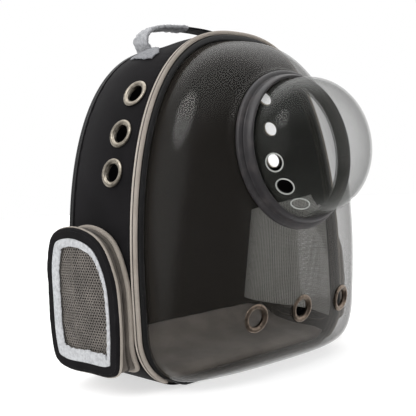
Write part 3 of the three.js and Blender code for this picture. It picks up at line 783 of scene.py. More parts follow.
@dataclass(frozen=True)
class WovenCloth:
    """A plain-woven cloth: threads that pass over and under each other, washed-out patches, and painted light
    that makes the thread tops paler and the gaps between them darker.
    """

    name: str
    colour: tuple[float, float, float]
    faded: tuple[float, float, float]
    weave: Weave = Weave.OXFORD
    relief: float = 0.00012
    roughness: float = 0.82
    sheen: float = 0.012
    grime: float = 0.0

    def threads(self, graph: Graph) -> Value:
        """Height of the threads: across ones show on the even squares and along ones on the odd.

        Args:
            graph: the material's graph.

        Returns:
            The height, between 0 and 1.
        """
        u, v = graph.cloth_uv()
        across, along = self.weave.value
        a, b = u * across, v * along
        even = ((a.floor() + b.floor()) / 2.0).part() * 2.0
        warp = (a * math.pi).sine().size()
        weft = (b * math.pi).sine().size()
        return (warp * even + weft * (1.0 - even)) ** 0.8

    def make(self) -> Material:
        """The material: colour by thread height, which is painted light (paler thread tops, darker gaps
        between them), and by slow noise; bump by thread height.

        Returns:
            The new material.
        """
        graph = Graph.of(self.name)
        height = self.threads(graph)
        patches = graph.noise(38.0, 3.0).between(0.3, 0.75)
        slubs = graph.noise(900.0, 2.0)
        # painted light and shade: the height share makes thread tops paler and the gaps darker; the patch
        # share is real fading and the slub share is random tone
        tone = (height * 0.35 + patches * 0.45 + slubs * 0.2).between(0.1, 0.95)
        colour = graph.blend(tone, self.colour, self.faded)
        if self.grime > 0:
            dirt = graph.noise(160.0, 4.0).between(0.45, 0.8) * self.grime
            dull = tuple(0.45 * c for c in self.colour)
            colour = graph.blend(dirt, colour, dull)
        crumple = graph.noise(120.0, 3.0)
        rough = self.roughness + (patches - 0.5) * 0.12
        normal = graph.bump(height * 0.6 + crumple * 1.4, self.relief)
        return graph.surface(base_color=colour, roughness=rough, normal=normal, sheen_weight=self.sheen,
                             sheen_roughness=0.5, specular_ior_level=0.1)


@dataclass(frozen=True)
class FleckedBinding:
    """Black binding with a soft gloss and a few pale flecks of lint along it."""

    name: str
    colour: tuple[float, float, float]
    fleck: tuple[float, float, float] = (0.62, 0.6, 0.57)
    density: float = 0.5

    def make(self) -> Material:
        """The material: ribs along the run, and flecks where two noises both peak.

        Returns:
            The new material.
        """
        graph = Graph.of(self.name)
        u, v = graph.cloth_uv()
        ribs = (v * (TAU * 620.0)).sine() * 0.5 + 0.5
        lint = graph.noise(520.0, 4.0, 0.7).between(0.66, 0.72) * graph.noise(42.0, 1.0).between(0.5, 0.62)
        worn = graph.noise(70.0, 3.0).between(0.4, 0.8)
        base = graph.blend(worn * 0.5, self.colour, tuple(2.2 * c for c in self.colour))
        colour = graph.blend(lint * self.density, base, self.fleck)
        rough = 0.42 + worn * 0.2 + lint * 0.3
        normal = graph.bump(ribs * 0.6 + graph.noise(300.0) * 0.8 + lint, 0.00012)
        return graph.surface(base_color=colour, roughness=rough, normal=normal, specular_ior_level=0.5)


@dataclass(frozen=True)
class SmokeClear:
    """Smoke-tinted clear plastic. It is see-through face on and closes up towards grazing."""

    name: str
    tint: tuple[float, float, float]
    cover: float
    edge_cover: float
    roughness: float = 0.012
    edge_power: float = 1.6
    bend: float = 1.6

    def make(self) -> Material:
        """The material: alpha rises with a power of the facing term, so edges close up.

        Returns:
            The new material.
        """
        graph = Graph.of(self.name)
        facing = Value(graph, graph.node("ShaderNodeLayerWeight", {}, {"Blend": 0.5}).outputs["Facing"])
        haze = graph.noise(9.0, 3.0).between(0.35, 0.8)
        alpha = self.cover + haze * 0.012 + (facing ** self.edge_power) * self.edge_cover
        smear = graph.noise(14.0, 1.0)
        rough = self.roughness + smear.between(0.5, 0.9) * 0.02
        return graph.surface(base_color=self.tint, roughness=rough, alpha=alpha, ior=self.bend,
                             specular_ior_level=0.5)


@dataclass(frozen=True)
class MouldedPlastic:
    """Charcoal plastic with a fine moulded grain and rubbed, paler patches."""

    name: str
    colour: tuple[float, float, float]
    rubbed: tuple[float, float, float]
    roughness: float = 0.42

    def make(self) -> Material:
        """The material: paler by slow noise, with a fine grain bump.

        Returns:
            The new material.
        """
        graph = Graph.of(self.name)
        wear = graph.noise(55.0, 4.0, 0.6).between(0.42, 0.8)
        grain = graph.noise(2400.0, 2.0)
        colour = graph.blend(wear, self.colour, self.rubbed)
        rough = self.roughness + wear * 0.15 + (grain - 0.5) * 0.1
        return graph.surface(base_color=colour, roughness=rough, normal=graph.bump(grain, 0.00004),
                             specular_ior_level=0.5)


@dataclass(frozen=True)
class PlatedMetal:
    """Dull plated metal, with turning marks and tarnished patches."""

    name: str
    colour: tuple[float, float, float]
    tarnish: tuple[float, float, float]
    roughness: float = 0.28

    def make(self) -> Material:
        """The material: tarnish by noise, rougher where it is, with fine marks round the ring.

        Returns:
            The new material.
        """
        graph = Graph.of(self.name)
        spots = graph.noise(260.0, 4.0, 0.65).between(0.38, 0.78)
        u, v = graph.cloth_uv()
        marks = (u * (TAU * 2300.0)).sine() * 0.5 + 0.5
        colour = graph.blend(spots, self.colour, self.tarnish)
        rough = self.roughness + spots * 0.22
        return graph.surface(base_color=colour, roughness=rough, metallic=1.0,
                             normal=graph.bump(marks * 0.5 + spots, 0.00003))


@dataclass(frozen=True)
class PaleFelt:
    """Off-white non-woven cloth: pressed fibres and small creases, with painted shade that greys the hollows
    of the creases.
    """

    name: str
    colour: tuple[float, float, float]
    hollow: tuple[float, float, float]

    def make(self) -> Material:
        """The material: painted shade greys the low parts of a crumpled noise, which are the hollows of its
        bump, with a fibre bump on top.

        Returns:
            The new material.
        """
        graph = Graph.of(self.name)
        crease = graph.noise(240.0, 5.0, 0.7)
        fibre = graph.noise(2600.0, 3.0, 0.7)
        # painted shade: where the crease noise is low, in the hollows of the bump, the colour turns to the
        # darker, greyer colour
        colour = graph.blend(crease.between(0.34, 0.62), self.hollow, self.colour)
        normal = graph.bump(crease * 0.7 + fibre * 0.2, 0.0004)
        return graph.surface(base_color=colour, roughness=0.85, normal=normal, sheen_weight=0.1,
                             specular_ior_level=0.3)


@dataclass(frozen=True)
class Gauze:
    """Fine net cloth, drawn as threads with open squares between them."""

    name: str
    colour: tuple[float, float, float]
    pitch: float = 0.0022
    thread: float = 0.42

    def make(self) -> Material:
        """The material: alpha is high on the threads of both directions, and low between them.

        Returns:
            The new material.
        """
        graph = Graph.of(self.name)
        u, v = graph.cloth_uv()
        across = ((u / self.pitch).part() - 0.5).size() * 2.0
        along = ((v / self.pitch).part() - 0.5).size() * 2.0
        lines = graph.math("MAXIMUM", across, along).between(1.0 - self.thread - 0.1, 1.0 - self.thread + 0.1)
        colour = graph.blend(graph.noise(60.0, 3.0), self.colour, tuple(0.7 * c for c in self.colour))
        return graph.surface(base_color=colour, roughness=0.85, alpha=lines * 0.85 + 0.1,
                             normal=graph.bump(lines, 0.0002))


@dataclass(frozen=True)
class KnittedNet:
    """The thick yarn of an air mesh, with a knitted twist and uneven tone."""

    name: str
    colour: tuple[float, float, float]
    dark: tuple[float, float, float]

    def make(self) -> Material:
        """The material: tone by two noises, bump by a twist across the yarn.

        Returns:
            The new material.
        """
        graph = Graph.of(self.name)
        tone = (graph.noise(900.0, 3.0) * 0.6 + graph.noise(35.0, 2.0) * 0.4).between(0.35, 0.7)
        twist = graph.noise(3600.0, 2.0)
        colour = graph.blend(tone, self.dark, self.colour)
        return graph.surface(base_color=colour, roughness=0.75, normal=graph.bump(twist, 0.00015),
                             sheen_weight=0.3, specular_ior_level=0.35)


@dataclass(frozen=True)
class Plush:
    """Short-piled cloth of the floor pad."""

    name: str
    colour: tuple[float, float, float]
    deep: tuple[float, float, float]

    def make(self) -> Material:
        """The material: brushed patches of random tone, and painted shade that darkens the low parts of the
        fine pile bump.

        Returns:
            The new material.
        """
        graph = Graph.of(self.name)
        brushed = graph.noise(30.0, 3.0).between(0.3, 0.7)
        pile = graph.noise(1500.0, 3.0, 0.7)
        # painted shade: where the pile noise is low, in the dips of its bump, the colour falls towards the
        # darker colour; the brushed patches are random tone
        colour = graph.blend(brushed * 0.6 + pile * 0.4, self.deep, self.colour)
        return graph.surface(base_color=colour, roughness=0.95, sheen_weight=0.5,
                             normal=graph.bump(pile, 0.0008), specular_ior_level=0.2)


def dressing(kind: Callable[..., Any], *values: Any, **more: Any) -> Any:
    """A field that makes a finish's material when the finishes are made."""
    return field(default_factory=lambda: kind(*values, **more).make())


@dataclass
class Finishes:
    """Every finish of the carrier, made once."""

    # the second colour of each woven cloth is its washed-out tone and also the painted light on its thread
    # tops
    cloth: Material = dressing(
        WovenCloth, "black_cloth", (0.0058, 0.0053, 0.006), (0.0115, 0.0105, 0.0118), relief=0.00004)
    lining: Material = dressing(
        WovenCloth, "padded_black_cloth", (0.006, 0.0056, 0.0062), (0.0105, 0.0098, 0.0108), relief=0.00003)
    binding: Material = dressing(FleckedBinding, "flecked_binding", (0.006, 0.006, 0.0065))
    webbing: Material = dressing(
        WovenCloth, "black_webbing", (0.006, 0.006, 0.0065), (0.014, 0.0135, 0.014),
        Weave.WEBBING, 0.0004, 0.7)
    piping: Material = dressing(
        WovenCloth, "beige_piping", (0.47, 0.42, 0.365), (0.56, 0.505, 0.45),
        Weave.GROSGRAIN, 0.00016, 0.72, 0.1, 0.12)
    dull_piping: Material = dressing(
        WovenCloth, "taupe_piping", (0.33, 0.29, 0.25), (0.42, 0.375, 0.33),
        Weave.GROSGRAIN, 0.00016, 0.75, 0.1, 0.15)
    tape: Material = dressing(
        WovenCloth, "zip_tape", (0.105, 0.091, 0.079), (0.15, 0.131, 0.115),
        Weave.TAPE, 0.0002, 0.8, 0.1, 0.15)
    coil: Material = dressing(MouldedPlastic, "zip_coil", (0.055, 0.045, 0.038), (0.12, 0.1, 0.085), 0.4)
    clear: Material = dressing(SmokeClear, "smoke_clear", (0.042, 0.037, 0.031), 0.165, 0.42)
    dome: Material = dressing(SmokeClear, "smoke_dome", (0.06, 0.062, 0.055), 0.12, 0.4)
    ring: Material = dressing(MouldedPlastic, "ring_plastic", (0.026, 0.024, 0.026), (0.06, 0.052, 0.052))
    nickel: Material = dressing(PlatedMetal, "side_eyelet_plate", (0.4, 0.36, 0.3), (0.16, 0.14, 0.11))
    bronze: Material = dressing(PlatedMetal, "front_eyelet_plate", (0.3, 0.235, 0.185), (0.1, 0.078, 0.06))
    vent_rim: Material = dressing(MouldedPlastic, "rim_plastic", (0.36, 0.37, 0.35), (0.5, 0.5, 0.48), 0.3)
    # the second colour of each felt is painted shade for the hollows of its creases
    felt: Material = dressing(PaleFelt, "pale_felt", (0.56, 0.57, 0.585), (0.41, 0.415, 0.43))
    worn_felt: Material = dressing(PaleFelt, "worn_felt", (0.45, 0.455, 0.47), (0.29, 0.295, 0.31))
    patch_felt: Material = dressing(PaleFelt, "patch_felt", (0.28, 0.285, 0.3), (0.17, 0.175, 0.19))
    net: Material = dressing(KnittedNet, "taupe_net", (0.27, 0.24, 0.21), (0.1, 0.087, 0.075))
    gauze: Material = dressing(Gauze, "inner_gauze", (0.85, 0.84, 0.79))
    # the plush's second colour is both its darker tone and the painted shade between its pile
    plush: Material = dressing(Plush, "pad_plush", (0.43, 0.38, 0.335), (0.24, 0.21, 0.186))
    thread: Material = dressing(
        WovenCloth, "black_thread", (0.012, 0.012, 0.013), (0.04, 0.038, 0.038), Weave.TAPE, 0.0001, 0.6)


# The body's outline


@dataclass(frozen=True)
class Stations:
    """Points on the body's outline, with outward normals.

    low is 1 on the flat base and falls to 0 over the lower corner, low_end does so over the
    stretch below the end of the piping, and share is the share of the corner that is behind.
    """

    x: Array
    z: Array
    nx: Array
    nz: Array
    low: Array
    low_end: Array
    share: Array
    run: Array

    def at(self, inset: Array | float, y: Array | float) -> Array:
        """Points at an inset from the outline and at a depth, as an array (..., 3)."""
        x, z = self.x - self.nx * inset, self.z - self.nz * inset
        return np.stack(np.broadcast_arrays(x, y, z), axis=-1)

    def grid(self, inset: Array, y: Array) -> Array:
        """Points for every station and every depth, with inset an array (stations, depths).

        Args:
            inset: insets from the outline.
            y: depths.

        Returns:
            Array (stations, depths, 3).
        """
        x = self.x[:, None] - self.nx[:, None] * inset
        z = self.z[:, None] - self.nz[:, None] * inset
        return np.stack(np.broadcast_arrays(x, y[None, :], z), axis=-1)

    def normals(self) -> Array:
        """Outward normals, as an array (stations, 3)."""
        return np.stack([self.nx, np.zeros_like(self.nx), self.nz], axis=-1)

    def picked(self, which: Array) -> Stations:
        """The stations that which picks."""
        return Stations(*(value[which] for value in vars(self).values()))


@dataclass(frozen=True)
class BodyOutline:
    """Outline of the body from the front: a flat base, round corners, straight sides and an arch."""

    half_width: float = 0.180
    height: float = 0.420
    shoulder: float = 0.097
    corner: float = 0.065
    power: float = 2.45
    piping_end: float = 0.27

    def half(self, count: int, from_middle: bool = True) -> Stations:
        """The right half from the middle of the base, or from its edge, up to the top.

        Args:
            count: number of equal steps.
            from_middle: whether the half of the flat base is part of it.

        Returns:
            The stations, in order. The arch is |x/w|^power + |up/rise|^power = 1.
        """
        flat = self.half_width - self.corner
        rise = self.height - self.shoulder
        turn = np.linspace(0.0, 1.0, 120)
        angle = (turn - 1.0) * math.pi / 2
        corner = np.stack([flat + self.corner * np.cos(angle), self.corner * (1 + np.sin(angle)),
                           np.cos(angle), np.sin(angle), 1 - smooth(turn, 0, 1),
                           1 - smooth(turn, 0, self.piping_end), turn], axis=-1)
        angle = np.linspace(0.0, 1.0, 900) ** 1.4 * math.pi / 2
        across = np.clip(np.cos(angle), 0, 1) ** (2 / self.power)
        across[-1] = 0.0
        up = np.sin(angle) ** (2 / self.power)
        steep = self.power - 1
        normal = unit(np.stack([across ** steep / self.half_width, up ** steep / rise], axis=-1))
        zero = np.zeros_like(up)
        arch = np.stack([self.half_width * across, self.shoulder + rise * up, normal[:, 0], normal[:, 1],
                         zero, zero, zero + 1], axis=-1)
        parts = [corner, arch]
        if from_middle:
            base = corner[:1].copy()
            base[0, 0] = 0.0
            parts.insert(0, base)
        rows = np.vstack(parts)
        run = runs(rows[:, :2])
        target = np.linspace(0.0, run[-1], count + 1)
        x, z, nx, nz, low, end, share = (np.interp(target, run, rows[:, k]) for k in range(7))
        length = np.hypot(nx, nz)
        return Stations(x, z, nx / length, nz / length, low, end, share, target)

    def loop(self, count: int) -> Stations:
        """The whole outline, from the middle of the base up the right side and down the left.

        Args:
            count: number of equal steps on each half.

        Returns:
            The stations, in order.
        """
        right = self.half(count)
        back = slice(-2, 0, -1)
        signs = {"x": -1, "nx": -1}
        joined = {name: np.concatenate([value, signs.get(name, 1) * value[back]])
                  for name, value in vars(right).items()}
        joined["run"] = np.concatenate([right.run, 2 * right.run[-1] - right.run[back]])
        return Stations(**joined)

    def width_at(self, z: Array) -> Array:
        """Half the width of the body at heights up to the shoulder."""
        drop = np.clip(self.corner - z, 0.0, self.corner)
        return self.half_width - self.corner + np.sqrt(self.corner ** 2 - drop ** 2)

    def top_at(self, x: Array) -> Array:
        """Height of the arch above a place across the body."""
        across = np.clip(np.abs(x) / self.half_width, 0.0, 1.0)
        return self.shoulder + (self.height - self.shoulder) * (1 - across ** self.power) ** (1 / self.power)


OUTLINE = BodyOutline()


@dataclass(frozen=True)
class Depth:
    """Depths from the front face of the flange, and the shift from there into the model's frame."""

    rim_front: float = -0.0053
    rim_back: float = -0.0003
    frame_front: float = 0.0023
    frame_back: float = 0.0061
    wall_front: float = 0.0064
    wall: float = 0.120
    back_gap: float = 0.0003
    back: float = 0.010
    rear_piping: float = 0.00355
    front_piping: float = -0.00185

    @property
    def wall_back(self) -> float:
        """Rear edge of the cloth wall."""
        return self.wall_front + self.wall

    @property
    def back_front(self) -> float:
        """Front face of the back panel."""
        return self.wall_back + self.back_gap

    @property
    def back_rear(self) -> float:
        """Face of the back panel towards the wearer."""
        return self.back_front + self.back


DEPTH = Depth()


def placed(points: Array) -> Array:
    """Points moved from flange depths into the model's frame."""
    return points + np.array([0.0, FLANGE_Y, 0.0])


@dataclass(frozen=True)
class Spot:
    """A place on a surface, with its outward normal, for an eyelet and its hole."""

    point: Array
    normal: Array

    def reach(self, points: Array) -> tuple[Array, Array]:
        """Distance of points from the spot's axis, and along it.

        Args:
            points: array (..., 3).

        Returns:
            Both distances.
        """
        rel = points - self.point
        along = rel @ self.normal
        return np.linalg.norm(rel - along[..., None] * self.normal, axis=-1), along


def opened(grids: Sequence[Array], spots: Sequence[Spot], radius: float,
           cell: float) -> tuple[list[Array], Array]:
    """Round holes in a wall: near points slide onto each circle, and the quads inside it go.

    Args:
        grids: the wall's outer and inner grids.
        spots: places of the holes.
        radius: radius of the holes.
        cell: size of a grid cell.

    Returns:
        The moved grids and the quads that stay.
    """
    lead, reach = grids[0], 0.55 * cell
    gone = np.zeros(lead.shape[:2], bool)
    moved = [grid.copy() for grid in grids]
    for spot in spots:
        away, along = spot.reach(lead)
        near = (np.abs(along) < radius) & (away < radius + cell)
        gone |= near & (away < radius - reach)
        snap = near & (np.abs(away - radius) <= reach)
        for grid in moved:
            rel = grid[snap] - spot.point
            height = rel @ spot.normal
            radial = rel - height[:, None] * spot.normal
            grid[snap] = spot.point + height[:, None] * spot.normal + unit(radial) * radius
    corners = [gone[:-1, :-1], gone[1:, :-1], gone[:-1, 1:], gone[1:, 1:]]
    return moved, ~np.logical_or.reduce(corners)


# Cloth wall and back


@dataclass
class SideEyelet:
    """Place of an eyelet on the upper side: setback from the wall's front edge, and height."""

    setback: float
    height: float


@dataclass
class ClothBody:
    """The cloth wall that runs round the body, with a bulge in its filled upper sides."""

    finishes: Finishes
    inset: float = WALL_INSET
    thickness: float = WALL_THICKNESS
    bulge: float = 0.008
    bulge_from: float = 0.192
    bulge_rise: float = 0.070
    bulge_fade: float = 0.045
    steps: int = 250
    columns: int = 44
    eyelet_hole: float = 0.0126
    seam_pucker: float = 0.0006
    seam_tuck: float = 0.0012
    seam_setback: float = 0.0045
    fold: float = 0.0011
    left_eyelets: tuple[SideEyelet, ...] = (
        SideEyelet(0.033, 0.250), SideEyelet(0.0285, 0.294), SideEyelet(0.0245, 0.340))
    right_eyelets: tuple[SideEyelet, ...] = (
        SideEyelet(0.097, 0.262), SideEyelet(0.087, 0.308), SideEyelet(0.076, 0.350))

    def bulge_at(self, z: Array, y: Array) -> Array:
        """Bulge times smooth rise above the bays, smooth fade to the top and half a sine in depth.

        Args:
            z: height.
            y: depth.

        Returns:
            The outward move.
        """
        grow = smooth(z, self.bulge_from, self.bulge_from + self.bulge_rise)
        fade = 1 - smooth(z, OUTLINE.height - self.bulge_fade, OUTLINE.height)
        return self.bulge * grow * fade * np.sin(math.pi * (y - DEPTH.wall_front) / DEPTH.wall)

    def spot(self, side: Side, eyelet: SideEyelet) -> Spot:
        """Place of an eyelet on the bulged side: the arch's point at its height, pushed outwards.

        Args:
            side: side of the body.
            eyelet: its setback and height.

        Returns:
            The spot.
        """
        y = DEPTH.wall_front + eyelet.setback
        rise = OUTLINE.height - OUTLINE.shoulder
        up = (eyelet.height - OUTLINE.shoulder) / rise
        across = (1 - up ** OUTLINE.power) ** (1 / OUTLINE.power)
        normal = unit(np.array([across ** (OUTLINE.power - 1) / OUTLINE.half_width, 0.0,
                                up ** (OUTLINE.power - 1) / rise]))
        push = float(self.bulge_at(np.array(eyelet.height), np.array(y))) - self.inset
        step = 0.0005
        ahead, behind = self.bulge_at(np.array(eyelet.height), np.array([y + step, y - step]))
        slope = float(ahead - behind) / (2 * step)
        point = np.array([OUTLINE.half_width * across, y, eyelet.height]) + normal * push
        normal = unit(normal - np.array([0.0, slope, 0.0]))
        mirror = np.array([side.value, 1.0, 1.0])
        return Spot(placed(point * mirror), normal * mirror)

    def spots(self) -> list[Spot]:
        """Places of all side eyelets, the left ones first."""
        rows = ((Side.LEFT, self.left_eyelets), (Side.RIGHT, self.right_eyelets))
        return [self.spot(side, eyelet) for side, row in rows for eyelet in row]

    def creases(self, run: Array, y: Array, z: Array) -> Array:
        """Small outward moves: puckers that die away from both seams, and long slack folds.

        Args:
            run: distance round the outline.
            y: depth.
            z: height.

        Returns:
            Moves in metres, positive outwards.
        """
        front = np.exp(-(y - DEPTH.wall_front) / 0.010)
        rear = np.exp(-(DEPTH.wall_back - y) / 0.012)
        pucker = self.seam_pucker * (ripple(run, 0.013, 1.0) * front + ripple(run, 0.017, 2.0) * rear)
        slant = run + 0.55 * (y - DEPTH.wall_front)
        body = np.sin(math.pi * (y - DEPTH.wall_front) / DEPTH.wall)
        folds = self.fold * ripple(slant, 0.075, 3.0) * body * smooth(z, 0.02, 0.16)
        return pucker + folds - self.seam_tuck * (front ** 3 + rear ** 3)

    def build(self, window: Callable[[Array], Array]) -> Piece:
        """The wall, with a round hole behind each eyelet and a window behind each bay.

        Args:
            window: tells which points lie in a window.

        Returns:
            The wall.
        """
        outline = OUTLINE.loop(self.steps)
        y = DEPTH.wall_front + DEPTH.wall * np.linspace(0, 1, self.columns + 1)
        run, z = outline.run[:, None], outline.z[:, None]
        base = self.inset * (1 - outline.low[:, None])
        lift = self.bulge_at(z, y[None]) + self.creases(run, y[None], z) * smooth(z, 0.0, 0.03)
        outer = placed(outline.grid(base - lift, y))
        inner = placed(outline.grid(base - lift + self.thickness, y))
        cell = DEPTH.wall / self.columns
        (outer, inner), keep = opened((outer, inner), self.spots(), self.eyelet_hole, cell)
        inside_window = window(outer)
        keep &= ~(inside_window[:-1, :-1] & inside_window[1:, :-1])
        total = np.append(outline.run, 2 * OUTLINE.half(self.steps).run[-1])
        keep = np.vstack([keep, np.ones((1, self.columns), bool)])
        wall = walled("cloth_wall", outer, inner, y, total, True, keep)
        return settle(wall, self.finishes.cloth, "shell_cloth", "fabric_wall")

    def seam_stitches(self) -> Piece:
        """A row of thread just behind the front piping, and one before the rear seam.

        Returns:
            The stitches.
        """
        outline = OUTLINE.loop(self.steps)
        up = outline.z > 0.004
        line = outline.picked(up)
        rows = []
        for depth in (DEPTH.wall_front + self.seam_setback, DEPTH.wall_back - self.seam_setback):
            y = np.full_like(line.z, depth)
            lift = self.bulge_at(line.z, y) + self.creases(line.run, y, line.z) * smooth(line.z, 0.0, 0.03)
            inset = self.inset * (1 - line.low) - lift
            rows.append(stitch_row(placed(line.at(inset, y)), line.normals()))
        return settle(stitches("wall_stitching", rows), self.finishes.thread, "shell_cloth")


@dataclass
class PaddedBack:
    """The padded rear panel: a thin crowned cushion with sewn channels and a bound edge."""

    finishes: Finishes
    voxel: float = 0.006
    pressure: float = 4.0
    frames: int = 20
    puff: float = 0.0035
    shrink: float = 0.0035
    edge_round: float = 0.0016
    channel_depth: float = 0.0028
    channel_width: float = 0.006
    channel_rise: float = 0.012
    channel_reach: float = 0.115
    channels: tuple[float, ...] = (0.095, 0.185, 0.275, 0.360)
    lining_inset: float = 0.0012
    binding_radius: float = 0.0022

    def slab(self) -> Piece:
        """A flat plate inside the outline, a little thinner than the finished panel.

        Returns:
            The plate.
        """
        outline = OUTLINE.loop(140)
        inset, near = self.shrink, self.edge_round
        levels = ((inset + near, DEPTH.back_front + near), (inset, DEPTH.back_front + 2 * near),
                  (inset, DEPTH.back_rear - 2 * near), (inset + near, DEPTH.back_rear - near))
        loops = np.stack([placed(outline.at(inset, y)) for inset, y in levels])
        return loft("back_panel_padded", loops, False)

    def swell(self, piece: Piece) -> None:
        """Voxel remesh and cloth under pressure, with every move held to the puff.

        Args:
            piece: the plate.
        """
        bpy.context.view_layer.objects.active = piece
        remesh = piece.modifiers.new("remesh", "REMESH")
        remesh.mode, remesh.voxel_size = "VOXEL", self.voxel
        bpy.ops.object.modifier_apply(modifier=remesh.name)
        start = points_of(piece)
        cloth = piece.modifiers.new("cloth", "CLOTH")
        cloth.settings.use_pressure = True
        cloth.settings.uniform_pressure_force = self.pressure
        cloth.settings.effector_weights.gravity = 0.0
        cloth.settings.quality = 4
        cloth.point_cache.frame_start, cloth.point_cache.frame_end = 1, self.frames
        scene = bpy.context.scene
        for step in range(1, self.frames + 1):
            scene.frame_set(step)
        bpy.ops.object.modifier_apply(modifier=cloth.name)
        scene.frame_set(1)
        move = points_of(piece) - start
        length = np.linalg.norm(move, axis=1, keepdims=True)
        held = start + move * np.minimum(1.0, self.puff / np.maximum(length, 1e-9))
        low = placed(np.array([0.0, DEPTH.back_front + 0.0002, 0.0006]))
        held[:, 1] = np.maximum(held[:, 1], low[1])
        held[:, 2] = np.maximum(held[:, 2], low[2])
        piece.data.vertices.foreach_set("co", held.ravel())

    def sew(self, piece: Piece) -> None:
        """Presses the sewn channels into the rear face, each a Gaussian dip across its line.

        Args:
            piece: the swollen plate.
        """
        points = points_of(piece)
        middle = FLANGE_Y + (DEPTH.back_front + DEPTH.back_rear) / 2
        rear = smooth(points[:, 1], middle, middle + 0.003)
        for height in self.channels:
            line = height + self.channel_rise * np.cos(points[:, 0] / self.channel_reach * math.pi / 2)
            dip = np.exp(-((points[:, 2] - line) / self.channel_width) ** 2)
            points[:, 1] -= rear * self.channel_depth * dip
        piece.data.vertices.foreach_set("co", points.ravel())
        piece.data.update()

    def build_lining(self) -> None:
        """The flat lining that closes the cabin's rear, sewn in between the wall and the panel."""
        outline = OUTLINE.loop(160)
        levels = (DEPTH.wall_back - 0.0006, DEPTH.back_front + 0.0028)
        loops = np.stack([placed(outline.at(self.lining_inset, y)) for y in levels])
        settle(loft("back_lining", loops, False), self.finishes.lining, "shell_cloth")

    def build(self) -> None:
        """The panel, its lining and its binding."""
        self.build_lining()
        piece = self.slab()
        self.swell(piece)
        smoother = piece.modifiers.new("finer", "SUBSURF")
        smoother.levels = smoother.render_levels = 1
        bpy.ops.object.modifier_apply(modifier=smoother.name)
        self.sew(piece)
        layer = piece.data.uv_layers.new(name="cloth")
        count = len(piece.data.loops)
        index = np.empty(count, np.int32)
        piece.data.loops.foreach_get("vertex_index", index)
        layer.data.foreach_set("uv", points_of(piece)[index][:, [0, 2]].astype(np.float32).ravel())
        shade_smooth(piece.data)
        settle(piece, self.finishes.lining, "shell_cloth", "back_panel")
        outline = OUTLINE.loop(240)
        radius = self.binding_radius
        for name, y in (("back_binding_front", DEPTH.back_front + radius + 0.0002),
                        ("back_binding_rear", DEPTH.back_rear - radius - 0.0012)):
            keep = 0.0004 + radius
            path = placed(outline.at(keep, y))
            edge = cord(name, path, outline.normals(), INWARDS, radius, 10)
            settle(edge, self.finishes.binding, "shell_cloth")


@dataclass
class FloorPad:
    """The plush pad on the cabin floor: its sides climb the corners and its rear curls up."""

    finishes: Finishes
    margin: float = 0.003
    climb: float = 0.34
    thinning: float = 0.25
    gap: float = CLEARANCE
    profile: tuple[tuple[float, float], ...] = (
        (0.0, 0.008), (0.06, 0.015), (0.5, 0.018), (0.78, 0.027), (1.0, 0.050))

    def build(self) -> None:
        """The pad: the wall's inner face below, and above it the height of the profile."""
        half = OUTLINE.half(1400)
        side = half.picked(half.share <= self.climb)
        right = respaced(np.stack([side.x, side.z, side.nx, side.nz, side.low, side.share], axis=-1), 46)
        left = right[:0:-1] * np.array([-1, 1, -1, 1, 1, 1])
        x, z, nx, nz, low, share = np.vstack([left, right]).T
        along = np.linspace(0, 1, 61)
        front, back = DEPTH.wall_front + self.margin, DEPTH.wall_back - self.margin
        y = front + (back - front) * along
        inset = WALL_INSET * (1 - low) + WALL_THICKNESS + self.gap
        height = np.interp(along, *np.array(self.profile).T)
        height = np.convolve(np.pad(height, 4, "edge"), np.ones(9) / 9, "valid")
        px, pz = (x - nx * inset)[:, None], (z - nz * inset)[:, None]
        edge = np.clip(np.minimum(np.arange(len(x)), np.arange(len(x))[::-1]) / 6.0, 0, 1)
        soft = (0.55 + 0.45 * np.sqrt(1 - (1 - edge) ** 2))[:, None]
        nap = 0.0007 * ripple(px + 0.4 * y[None], 0.05, 1.0)
        top = height[None] * (1 - self.thinning * share[:, None] / self.climb) * soft + nap
        under = placed(np.stack(np.broadcast_arrays(px, y[None], pz), axis=-1))
        outer = under + np.array([0.0, 0.0, 1.0]) * top[..., None]
        across = runs(np.stack([x, z], axis=-1))
        pad = walled("floor_pad_plush", outer, under, y - y[0], across)
        settle(pad, self.finishes.plush, "pad_cloth", "floor_pad")


# Clear front


